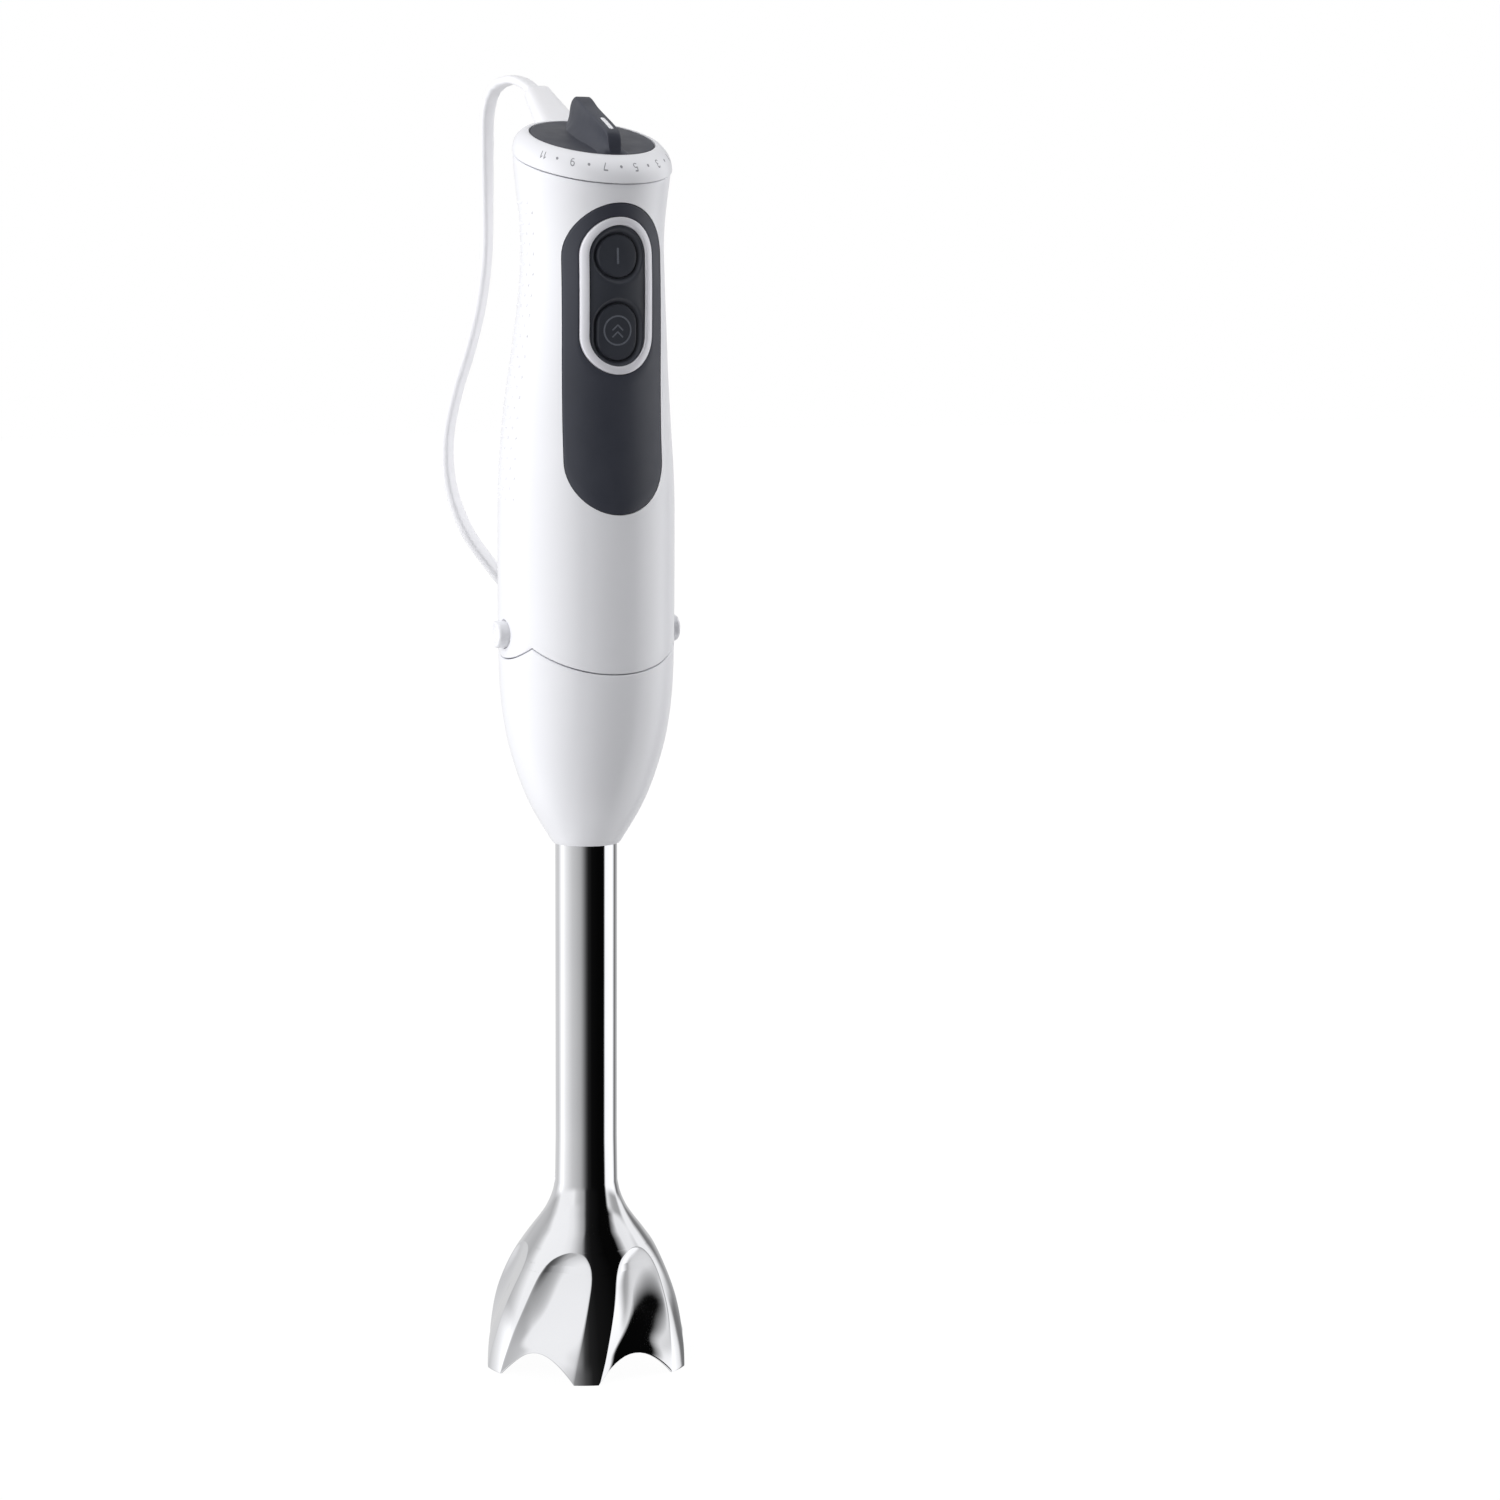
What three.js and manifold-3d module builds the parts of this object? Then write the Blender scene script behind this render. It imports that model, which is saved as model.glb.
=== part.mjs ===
// Immersion blender with a detachable blending shaft, in millimetres, +Z up.
// The origin is on the floor, under the axis of the shaft. The front, with the buttons, faces -Y.
// Angles round the shaft are measured from the front towards +X.
import * as THREE from "three";
import { mergeVertices } from "three/addons/utils/BufferGeometryUtils.js";
import Module from "manifold-3d";

const wasm = await Module();
wasm.setup();

const GAP = 0.3; // between pieces that touch
const ROUND = 36; // facets round a large round piece
const SMALL_ROUND = 16; // facets round a small one

// Blade guard
const LEGS = 6;
const FIRST_LEG = -22.5; // degrees from the front
const FOOT_RADIUS = 32.8;
const GUARD_WALL = 1.1;
const GUARD_TOP = 59.4;
const FLUTE_TOP = 37;
const FLUTE_DEPTH = 4.65;
const ARCH_HEIGHT = 8;
const GUARD_OUTLINE = [
  [0, FOOT_RADIUS],
  [10.2, 31],
  [20.4, 28.2],
  [28, 25],
  [33, 22.3],
  [FLUTE_TOP, 19.8],
  [40.7, 17.1],
  [46.8, 12.5],
  [52, 10.3],
  [GUARD_TOP, 9.4],
];
// Edges of a leg as [height, degrees from the middle of its foot]: the legs lean to one side.
const LEG_LEFT = [
  [0, -6.6],
  [15, -1.6],
  [28, 4.8],
  [32, 5],
  [FLUTE_TOP, -5],
];
const LEG_RIGHT = [
  [0, 6.6],
  [13, 13],
  [26.5, 19.8],
  [33, 29],
  [FLUTE_TOP, 45],
];

// Shaft tube and its white collar
const TUBE_RADIUS = 9.4;
const TUBE_BORE = 8.5;
const TUBE_TOP = 181.7;
const COLLAR_BOTTOM = 160.9;
const SPIGOT_RADIUS = 20;
const SPIGOT_TOP = 224;
const WELL_RADIUS = 17.6;
const WELL_FLOOR = 192;
const COLLAR_OUTLINE = [
  [COLLAR_BOTTOM, 10.3],
  [166.2, 13.5],
  [170.9, 16.2],
  [177.8, 19.4],
  [184.7, 21.7],
  [193, 24.1],
  [203, 25.6],
  [212.2, 26.3],
  [226, 26.6],
];

// Grip: [height, radius]; its upper half leans to the front
const GRIP_OUTLINE = [
  [205, 25.8],
  [212.2, 26.3],
  [226, 26.6],
  [262, 26.6],
  [271, 26.4],
  [283, 25.7],
  [295, 24.7],
  [307, 23.5],
  [317, 22.6],
  [327, 21.8],
  [339, 21.3],
  [348, 21.6],
  [356, 22.5],
  [364, 23.4],
  [382, 23.5],
];
const GRIP_WALL = 2.3;
const LEAN = -4.7;
const LEAN_FROM = 282;
const LEAN_TO = 335;

// Seam between collar and grip: low at the front and back, pointed, then scooped at the sides
const SEAM_FRONT = 214.6;
const SEAM_POINT = 222;
const SEAM_SIDE = 218;
const SEAM_POINT_ANGLE = 60;

// Cap and speed dial, tilted to the front
const TILT = THREE.MathUtils.degToRad(17);
const CAP_SEAM_HEIGHT = 365.3;
const CAP_TOP_HEIGHT = 372.3;
const CAP_RADIUS = 23.7;
const DIAL_RADIUS = 18.6;
const DIAL_THICK = 3;
const CREST_WIDTH = 5.2;
const CREST_OUTLINE = [
  [15.8, 0],
  [13.6, 8.4],
  [12, 9.4],
  [8.5, 9.4],
  [-11.5, 5.2],
  [-13.2, 4],
  [-17.2, 0],
  [-17.2, -1],
  [15.8, -1],
];
const POINTER_LENGTH = 10.5;
const POINTER_WIDTH = 1.3;

// Control panel on the front of the grip
const PANEL_WIDTH = 31.6;
const PANEL_LOW = 261.8;
const PANEL_HIGH = 353;
const RING_WIDTH = 23.2;
const RING_LOW = 302.9;
const RING_HIGH = 349;
const MEMBRANE_WIDTH = 17.9;
const MEMBRANE_LOW = 305.4;
const MEMBRANE_HIGH = 346.5;
const BUTTON_WIDTH = 13;
const POWER_HEIGHT = 337.5;
const TURBO_HEIGHT = 315.4;
const TURBO_LENGTH = 17;

// Release buttons on both sides of the grip
const RELEASE_HEIGHT = 225.3;
const RELEASE_RADIUS = 4.1;
const RELEASE_REACH = 29.6;

// Blade and drive
const ROD_RADIUS = 3;
const BLADE_HEIGHT = 12;
const BLADE_RADIUS = 21.5;

// Motor
const SHAFT_RADIUS = 2.5;
const STACK_LOW = 249.5;
const STACK_HIGH = 276.5;
const ARMATURE_RADIUS = 14;
const COMMUTATOR_HEIGHT = 292.5;

// Mains cord: the points are its middle line, each [to the right, behind, up] as seen from
// VIEW_TURN degrees left of the front. Its hank lies on the floor behind the blade guard.
const CORD_THICK = 4.4;
const VIEW_TURN = THREE.MathUtils.degToRad(-22.5);
const CORD_ROUTE = [
  [-14.8, 37.5, 386.7],
  [-19, 44, 390.4],
  [-23.7, 50, 391.6],
  [-28.4, 54, 389],
  [-30.6, 56, 382.5],
  [-31, 56.3, 371],
  [-31, 56.2, 356],
  [-31.2, 55.5, 338],
  [-33, 54, 323],
  [-36.3, 52.5, 309],
  [-40.6, 52, 295],
  [-43.4, 53, 281],
  [-42.8, 56, 266],
  [-38, 61, 251.5],
  [-29.5, 67.5, 238.5],
  [-20, 74.5, 226],
  [-12.5, 81.5, 212],
  [-8, 88, 196],
  [-6.5, 95, 176],
  [-6.5, 102, 152],
  [-6.5, 108.5, 126],
  [-6.5, 114, 99],
  [-6.5, 117.5, 73],
  [-7, 118, 52],
  [-7.8, 115, 34],
  [-9.6, 107.5, 21],
  [-10.3, 97.5, 14.2],
];
const RELIEF_RADIUS = 4.5; // at the cap
const RELIEF_TAPER = 1.6; // less at the cord
const RELIEF_FLATNESS = 0.78;
const RELIEF_HOLE = 8; // how far its hole runs through the wall
const HANK_NEAR = 38;
const HANK_FAR = 118;
const HANK_HALF_WIDTH = 16.2;
const HANK_HEIGHT = 11.4;
const LEAD_ROUTE = [
  [13.6, 98, 14],
  [13.6, 106, 14],
  [11, 112.4, 14.2],
  [4.6, 115, 14.8],
  [-1.8, 112.4, 15.6],
  [-4.4, 106, 16.8],
  [-2.2, 100.1, 18.4],
  [-0.5, 97.3, 19],
  [0, 94.7, 19.2],
];
const PLUG_FRONT = 60;
const PLUG_BACK = 94;
const PLUG_BOTTOM = 12.3;
const PLUG_THICK = 13.7;
const PLUG_MIDDLE = PLUG_BOTTOM + PLUG_THICK / 2;
const PIN_RADIUS = 2;
const PIN_LENGTH = 19;
const PIN_SPACING = 18.6;

// Straight-line lookup in a list of [at, value]
function lookUp(list, at) {
  if (at <= list[0][0]) return list[0][1];
  for (let i = 1; i < list.length; i++) {
    const [from, low] = list[i - 1];
    const [to, high] = list[i];
    if (at <= to) return low + ((high - low) * (at - from)) / (to - from);
  }
  return list[list.length - 1][1];
}

function leanAt(height) {
  return LEAN * THREE.MathUtils.smoothstep(height, LEAN_FROM, LEAN_TO);
}

// Height of the seam at an angle in radians from the front
function seamAt(angle) {
  const turned = Math.abs(THREE.MathUtils.radToDeg(angle)) % 180;
  const fromMiddle = Math.min(turned, 180 - turned);
  if (fromMiddle < SEAM_POINT_ANGLE)
    return SEAM_FRONT + (SEAM_POINT - SEAM_FRONT) * (fromMiddle / SEAM_POINT_ANGLE) ** 2;
  const toSide = (90 - fromMiddle) / (90 - SEAM_POINT_ANGLE);
  return SEAM_SIDE + (SEAM_POINT - SEAM_SIDE) * toSide ** 2;
}

// A closed geometry as a manifold-3d solid, and back
function solidOf(geometry) {
  const bare = geometry.clone();
  bare.deleteAttribute("normal");
  bare.deleteAttribute("uv");
  const merged = mergeVertices(bare, 1e-3);
  return new wasm.Manifold(
    new wasm.Mesh({
      numProp: 3,
      vertProperties: merged.attributes.position.array,
      triVerts: new Uint32Array(merged.index.array),
    }),
  );
}

function geometryOf(solid) {
  const mesh = solid.getMesh();
  const geometry = new THREE.BufferGeometry();
  geometry.setAttribute("position", new THREE.BufferAttribute(mesh.vertProperties, 3));
  geometry.setIndex(new THREE.BufferAttribute(mesh.triVerts, 1));
  return geometry;
}

// Moves each vertex of a geometry by a function of its place
function reshape(geometry, move) {
  const place = geometry.attributes.position;
  const v = new THREE.Vector3();
  for (let i = 0; i < place.count; i++) {
    v.fromBufferAttribute(place, i);
    move(v);
    place.setXYZ(i, v.x, v.y, v.z);
  }
  return geometry;
}

// A profile of [radius, height] that closes on itself, turned about Z
function turned(profile, sides = ROUND, start = 0) {
  const points = profile.map(([r, z]) => new THREE.Vector2(r, z));
  if (THREE.ShapeUtils.area(points) < 0) points.reverse();
  if (points[0].x > 0 || points[points.length - 1].x > 0) points.push(points[0].clone());
  return new THREE.LatheGeometry(points, sides, start).rotateX(Math.PI / 2);
}

function ring(inner, outer, low, high, sides = ROUND) {
  return turned([[inner, low], [outer, low], [outer, high], [inner, high]], sides);
}

function disc(radius, low, high, sides = ROUND) {
  return new THREE.CylinderGeometry(radius, radius, high - low, sides)
    .rotateX(Math.PI / 2)
    .translate(0, 0, (low + high) / 2);
}

function block(x, y, z) {
  return new THREE.BoxGeometry(x[1] - x[0], y[1] - y[0], z[1] - z[0]).translate(
    (x[0] + x[1]) / 2,
    (y[0] + y[1]) / 2,
    (z[0] + z[1]) / 2,
  );
}

// A flat outline in X and Y, pushed up from one height to another
function pushed(shape, low, high, curveSegments = 8) {
  return new THREE.ExtrudeGeometry(shape, {
    depth: high - low,
    bevelEnabled: false,
    curveSegments,
  }).translate(0, 0, low);
}

function outline(points) {
  return new THREE.Shape(points.map(([x, y]) => new THREE.Vector2(x, y)));
}

// Part of a ring between two angles in degrees from +X
function sector(inner, outer, from, to, low, high) {
  const a = THREE.MathUtils.degToRad(from);
  const b = THREE.MathUtils.degToRad(to);
  const shape = new THREE.Shape();
  shape.absarc(0, 0, outer, a, b, false);
  shape.absarc(0, 0, inner, b, a, true);
  return solidOf(pushed(shape, low, high));
}

// An outline with round ends, standing in the XZ plane and pushed along Y
function stadium(width, low, high, front, back) {
  const r = width / 2;
  const shape = new THREE.Shape();
  shape.absarc(0, high - r, r, 0, Math.PI, false);
  shape.absarc(0, low + r, r, Math.PI, 2 * Math.PI, false);
  return pushed(shape, 0, back - front, 10).rotateX(Math.PI / 2).translate(0, back, 0);
}

// A layer of the grip between two depths under its outer surface
function gripLayer(outerDepth, innerDepth, low, high) {
  const heights = [low, ...GRIP_OUTLINE.map(([z]) => z).filter((z) => z > low && z < high), high];
  const outer = heights.map((z) => [lookUp(GRIP_OUTLINE, z) - outerDepth, z]);
  const inner = heights.map((z) => [lookUp(GRIP_OUTLINE, z) - innerDepth, z]).reverse();
  const layer = turned([...outer, ...inner]);
  return solidOf(reshape(layer, (v) => v.setY(v.y + leanAt(v.z))));
}

// A ring that fills the space under the seam, for parting the pieces on its two sides
function underSeam(shift) {
  const top = 200;
  const blank = turned([[5, 100], [40, 100], [40, top], [5, top]]);
  return solidOf(
    reshape(blank, (v) => {
      if (v.z > top - 1) v.z = seamAt(Math.atan2(v.x, -v.y)) + shift;
    }),
  );
}

// Moves a geometry from a frame whose +Z is square to the tilted top into the part's frame
function tilted(geometry, height, forward = LEAN) {
  return geometry.rotateX(TILT).translate(0, forward, height);
}

// Turns [to the right, behind, up] into the part's frame
function behind([right, back, up]) {
  return new THREE.Vector3(
    right * Math.cos(VIEW_TURN) - back * Math.sin(VIEW_TURN),
    right * Math.sin(VIEW_TURN) + back * Math.cos(VIEW_TURN),
    up,
  );
}

function colour(hex, roughness, metalness = 0) {
  return new THREE.MeshStandardMaterial({ color: hex, roughness, metalness });
}

const finishes = {
  steel: colour(0xc9cbd2, 0.08, 1),
  white: colour(0xf0f0f5, 0.35),
  dark: colour(0x3b3f49, 0.5),
  soft: colour(0x2c3038, 0.65),
  silver: colour(0xd9d9e2, 0.3, 0.3),
  rubber: colour(0x202226, 0.8),
  inner: colour(0xd8d8da, 0.5),
  iron: colour(0x6d7076, 0.5, 0.8),
  copper: colour(0xb06a35, 0.35, 0.9),
  bronze: colour(0xa98248, 0.4, 0.9),
  carbon: colour(0x2b2b2d, 0.7, 0.2),
  board: colour(0x3a6b45, 0.5),
  cord: colour(0xe9e9ee, 0.45),
  brass: colour(0xd2b46a, 0.3, 1),
};

const blender = new THREE.Group();

function add(name, shape, finish) {
  const geometry = shape instanceof THREE.BufferGeometry ? shape : geometryOf(shape);
  const mesh = new THREE.Mesh(geometry, finishes[finish]);
  mesh.name = name;
  blender.add(mesh);
}

// How far across the hollow between two legs an angle is, from 0 to 1, or -1 on a leg
function acrossFlute(degrees, height) {
  const fromLeg = THREE.MathUtils.euclideanModulo(degrees - FIRST_LEG, 360 / LEGS);
  const start = lookUp(LEG_RIGHT, height);
  const end = 360 / LEGS + lookUp(LEG_LEFT, height);
  const along = (fromLeg - start) / (end - start);
  return along > 0 && along < 1 ? along : -1;
}

// The drawn steel bell with its six leaning legs
function bladeGuard() {
  const outer = GUARD_OUTLINE.map(([z, r]) => [r, z]);
  const inner = GUARD_OUTLINE.map(([z, r]) => [Math.max(r - GUARD_WALL, TUBE_BORE), z]);
  const facets = LEGS * 10;
  const blank = turned([...outer, ...inner.reverse()], facets, THREE.MathUtils.degToRad(FIRST_LEG));
  return reshape(blank, (v) => {
    const angle = Math.atan2(v.x, -v.y);
    const degrees = THREE.MathUtils.radToDeg(angle);
    const along = acrossFlute(degrees, v.z);
    const bowl = along < 0 || v.z > FLUTE_TOP ? 0 : 1 - (2 * along - 1) ** 2;
    const depth = FLUTE_DEPTH * bowl * Math.sqrt(Math.max(0, 1 - (v.z / FLUTE_TOP) ** 3));
    const radius = Math.hypot(v.x, v.y);
    const footBowl = acrossFlute(degrees, 0);
    const arch = footBowl < 0 ? 0 : ARCH_HEIGHT * (1 - (2 * footBowl - 1) ** 2);
    v.x *= (radius - depth) / radius;
    v.y *= (radius - depth) / radius;
    v.z += arch * Math.max(0, 1 - v.z / 20);
  });
}

function shaftCollar() {
  const outer = COLLAR_OUTLINE.map(([z, r]) => [r, z]);
  const blank = turned([
    ...outer,
    [WELL_RADIUS, 226],
    [WELL_RADIUS, WELL_FLOOR],
    [7.3, WELL_FLOOR],
    [7.3, TUBE_TOP + GAP],
    [TUBE_RADIUS + GAP, TUBE_TOP + GAP],
    [TUBE_RADIUS + GAP, COLLAR_BOTTOM],
  ]);
  const spigot = solidOf(ring(WELL_RADIUS, SPIGOT_RADIUS, 205, SPIGOT_TOP));
  return solidOf(blank).intersect(underSeam(-GAP / 2)).add(spigot);
}

function shaftPieces() {
  add("blade_guard", bladeGuard(), "steel");
  add("shaft_tube", ring(TUBE_BORE, TUBE_RADIUS, GUARD_TOP + GAP, TUBE_TOP), "steel");
  add("shaft_collar", shaftCollar(), "white");
  const seal = [[3.5, 34], [9.5, 34], [12.2, 36], [12.2, 37.6], [3.5, 37.6]];
  add("shaft_seal", turned(seal, 24), "rubber");
  add("lower_bush_holder", ring(5.3, 8.2, 38, 66, 24), "inner");
  add("lower_bush", ring(ROD_RADIUS + GAP, 5, 39, 55, 20), "bronze");
  add("upper_bush", ring(ROD_RADIUS + GAP, 7, 183, 191.6, 20), "bronze");
}

// A rounded six-point star, for the two halves of the drive coupling
function star(outer, inner) {
  const points = [];
  for (let i = 0; i < 12; i++) {
    const r = i % 2 ? inner : outer;
    const a = (i * Math.PI) / 6;
    points.push([r * Math.cos(a), r * Math.sin(a)]);
  }
  return outline(points);
}

// Two swept wings, one tip bent up and the other down
function bladeWings() {
  const wing = [
    [4, -5],
    [12, -5.6],
    [18, -3.5],
    [BLADE_RADIUS, 0.5],
    [17, 1.8],
    [10, 2.6],
    [4, 5],
  ];
  const other = wing.map(([x, y]) => [-x, -y]);
  const blank = solidOf(pushed(outline([...wing, ...other]), BLADE_HEIGHT, BLADE_HEIGHT + 1.5));
  return reshape(geometryOf(blank.refineToLength(5)), (v) => {
    v.z += Math.sign(v.x) * Math.max(0, Math.abs(v.x) - 6) * 0.16;
  });
}

function bladeRotorPieces() {
  const bore = solidOf(disc(ROD_RADIUS + GAP, 0, 30, SMALL_ROUND));
  add("blade", solidOf(bladeWings()).subtract(bore), "steel");
  add("blade_hub", ring(ROD_RADIUS + GAP, 6, BLADE_HEIGHT + 1.8, 22, 20), "steel");
  const nut = [[0, 7], [3.4, 7], [4.6, 8.2], [4.6, BLADE_HEIGHT - GAP], [0, BLADE_HEIGHT - GAP]];
  add("blade_nut", turned(nut, 6), "steel");
  add("drive_rod", disc(ROD_RADIUS, BLADE_HEIGHT, 199.7, SMALL_ROUND), "steel");
  // A thin floor between the bore for the rod and the star holds the socket together
  const cup = solidOf(disc(6.4, 194, 210, 24));
  const hollow = solidOf(pushed(star(4.4, 3.4), 200, 211));
  add("drive_socket", cup.subtract(hollow).subtract(solidOf(disc(3.3, 193, 199.99, 16))), "dark");
}

function motorRotorPieces() {
  add("drive_dog", pushed(star(4, 3), 202, 213.7), "dark");
  add("motor_shaft", disc(SHAFT_RADIUS, 214, 304, SMALL_ROUND), "steel");
  const fan = solidOf(ring(SHAFT_RADIUS + GAP, 17.5, 235, 236.6, 24));
  const blades = [];
  for (let i = 0; i < 9; i++) {
    const blade = block([7, 17], [-0.6, 0.6], [236, 241]).rotateZ((i * 2 * Math.PI) / 9);
    blades.push(solidOf(blade));
  }
  add("cooling_fan", blades.reduce((whole, blade) => whole.add(blade), fan), "inner");
  add("armature_core", ring(SHAFT_RADIUS + GAP, ARMATURE_RADIUS, 250, 276, 32), "iron");
  add("armature_winding_lower", ring(SHAFT_RADIUS + 1, 12.6, 243.5, 249.7, 24), "copper");
  add("armature_winding_upper", ring(SHAFT_RADIUS + 1, 12.6, 276.3, 283, 24), "copper");
  add("commutator", ring(SHAFT_RADIUS + GAP, 7.5, 287, 298, 24), "copper");
}

function fieldCoil(middle) {
  const whole = sector(15.2, 18.8, middle - 50, middle + 50, 244, 282);
  const window = sector(14, 20, middle - 34, middle + 34, STACK_LOW - GAP, STACK_HIGH + GAP);
  return whole.subtract(window);
}

function statorCore() {
  const slots = [0, 180].flatMap((middle) => [
    sector(14.9, 19.1, middle - 51, middle - 33.2, 240, 290),
    sector(14.9, 19.1, middle + 33.2, middle + 51, 240, 290),
  ]);
  const stack = solidOf(ring(14.6, 22, STACK_LOW, STACK_HIGH));
  return slots.reduce((whole, slot) => whole.subtract(slot), stack);
}

function motorPieces() {
  const cup = [
    [4.6, 226],
    [19.8, 226],
    [20.4, 227],
    [20.4, 232.4],
    [23.6, 232.4],
    [23.6, 249.2],
    [21, 249.2],
    [21, 234.5],
    [18.8, 234.5],
    [18.8, 229],
    [4.6, 229],
  ];
  add("lower_bracket", turned(cup), "inner");
  add("lower_bearing", ring(SHAFT_RADIUS + GAP, 4.3, 225.4, 229.6, 20), "bronze");
  add("stator_core", statorCore(), "iron");
  add("field_coil_left", fieldCoil(180), "copper");
  add("field_coil_right", fieldCoil(0), "copper");
  const cage = [
    [19.2, STACK_HIGH + GAP],
    [20.3, STACK_HIGH + GAP],
    [20.3, 298],
    [17, 302],
    [4.4, 302],
    [4.4, 299],
    [16, 299],
    [19.2, 296.8],
  ];
  add("upper_bracket", turned(cage, 32), "inner");
  add("upper_bearing", ring(SHAFT_RADIUS + GAP, 4.1, 298.6, 302.4, 20), "bronze");
  for (const [name, side] of [["left", -1], ["right", 1]]) {
    const span = (from, to) => (side > 0 ? [from, to] : [-to, -from]);
    const low = COMMUTATOR_HEIGHT - 2.5;
    const high = COMMUTATOR_HEIGHT + 2.5;
    const box = solidOf(block(span(8.6, 18.4), [-3.3, 3.3], [low - 1.1, high + 1.1]));
    const hole = solidOf(block(span(8, 19), [-2.5, 2.5], [low - GAP, high + GAP]));
    add(`brush_holder_${name}`, box.subtract(hole), "brass");
    add(`carbon_brush_${name}`, block(span(7.8, 14.5), [-2.2, 2.2], [low, high]), "carbon");
  }
}

function electronicPieces() {
  const board = solidOf(block([-13, 13], [-13, -11.4], [306.5, 350]));
  const screwHeights = [328, 347];
  const holes = screwHeights.map((z) =>
    solidOf(disc(1.5, -20, 0, 12).rotateX(Math.PI / 2).translate(0, -20, z)),
  );
  add("control_board", holes.reduce((whole, hole) => whole.subtract(hole), board), "board");
  screwHeights.forEach((z, i) => {
    const head = solidOf(disc(2.4, 0, 1.3, 12));
    const shank = solidOf(disc(1.1, -6, 0.5, 12));
    const screw = geometryOf(head.add(shank)).rotateX(Math.PI / 2).translate(0, -13.3, z);
    add(`board_screw_${i ? "upper" : "lower"}`, screw, "iron");
  });
  for (const [name, z] of [["power", POWER_HEIGHT], ["turbo", TURBO_HEIGHT]])
    add(`${name}_switch`, block([-6, 6], [-18.6, -13.3], [z - 3.2, z + 3.2]), "dark");
  add("noise_capacitor", block([-7, 7], [-11, -3.5], [308, 322]), "inner");
}

// The upper edge of the grip lies in a plane parallel to the dial
function belowTop(height, shift) {
  return solidOf(tilted(block([-60, 60], [-200, 200], [-400, shift]), height));
}

function gripShell() {
  const panelHole = solidOf(stadium(PANEL_WIDTH, PANEL_LOW, PANEL_HIGH, -40, -8));
  const releaseHole = solidOf(disc(RELEASE_RADIUS + GAP, -40, 40, 24).rotateY(Math.PI / 2));
  return gripLayer(0, GRIP_WALL, 205, 382)
    .subtract(underSeam(GAP / 2))
    .intersect(belowTop(CAP_SEAM_HEIGHT, -GAP / 2))
    .subtract(panelHole)
    .subtract(solidOf(strainRelief(GAP, RELIEF_HOLE)))
    .subtract(releaseHole.translate([0, 0, RELEASE_HEIGHT]));
}

function panelPiece(outerDepth, innerDepth, width, low, high) {
  const layer = gripLayer(outerDepth, innerDepth, PANEL_LOW - 3, PANEL_HIGH + 3);
  return layer.intersect(solidOf(stadium(width, low, high, -40, -8)));
}

function panelPieces() {
  const inset = (width, low, high, by) => [width - 2 * by, low + by, high - by];
  const hole = (width, low, high) => solidOf(stadium(width, low, high, -40, -8));
  const ringSize = [RING_WIDTH, RING_LOW, RING_HIGH];
  const panel = panelPiece(0, 2, ...inset(PANEL_WIDTH, PANEL_LOW, PANEL_HIGH, GAP));
  add("control_panel", panel.subtract(hole(...ringSize)), "dark");
  const frame = panelPiece(-0.4, 2, ...inset(...ringSize, GAP));
  const membraneSize = [MEMBRANE_WIDTH, MEMBRANE_LOW, MEMBRANE_HIGH];
  add("panel_ring", frame.subtract(hole(...membraneSize)), "silver");
  const power = [BUTTON_WIDTH, POWER_HEIGHT - BUTTON_WIDTH / 2, POWER_HEIGHT + BUTTON_WIDTH / 2];
  const turbo = [BUTTON_WIDTH, TURBO_HEIGHT - TURBO_LENGTH / 2, TURBO_HEIGHT + TURBO_LENGTH / 2];
  const membrane = panelPiece(0.6, 2, ...inset(...membraneSize, GAP));
  add("button_surround", membrane.subtract(hole(...power)).subtract(hole(...turbo)), "soft");
  for (const [name, size] of [["power", power], ["turbo", turbo]]) {
    const z = (size[1] + size[2]) / 2;
    const cap = panelPiece(0.5, 3.2, ...inset(...size, GAP));
    const surface = leanAt(z) - lookUp(GRIP_OUTLINE, z);
    const stem = disc(2, surface + 2.8, -20.7, 12).rotateX(-Math.PI / 2).translate(0, 0, z);
    add(`${name}_button`, cap.add(solidOf(stem)), "soft");
  }
}

// Cap with a rounded shoulder, a round well for the dial and a hole for the cord
function capPieces() {
  const shoulder = turned([
    [0, -30],
    [40, -30],
    [40, -5.6],
    [CAP_RADIUS + 0.9, -5.4],
    [CAP_RADIUS + 0.5, -3],
    [CAP_RADIUS - 0.6, -1.4],
    [CAP_RADIUS - 2.4, -0.4],
    [DIAL_RADIUS + 0.6, 0],
    [0, 0],
  ]);
  const well = solidOf(tilted(disc(DIAL_RADIUS + GAP, -DIAL_THICK - GAP, 5), CAP_TOP_HEIGHT));
  const bore = solidOf(tilted(disc(2.8, -20, 5, 16), CAP_TOP_HEIGHT));
  const hollow = solidOf(tilted(disc(20.4, -20, -DIAL_THICK - 1.8), CAP_TOP_HEIGHT));
  const cap = solidOf(disc(CAP_RADIUS, 340, 400).translate(0, LEAN, 0))
    .intersect(solidOf(tilted(shoulder, CAP_TOP_HEIGHT)))
    .subtract(belowTop(CAP_SEAM_HEIGHT, GAP / 2))
    .subtract(well)
    .subtract(bore)
    .subtract(hollow)
    .subtract(solidOf(strainRelief(GAP, RELIEF_HOLE)));
  add("top_cap", cap, "white");
  const pot = solidOf(tilted(disc(8, -14, -7.4, 24), CAP_TOP_HEIGHT));
  const socket = solidOf(tilted(disc(2.4, -20, 0, 16), CAP_TOP_HEIGHT));
  add("speed_regulator", pot.subtract(socket), "inner");
}

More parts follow.
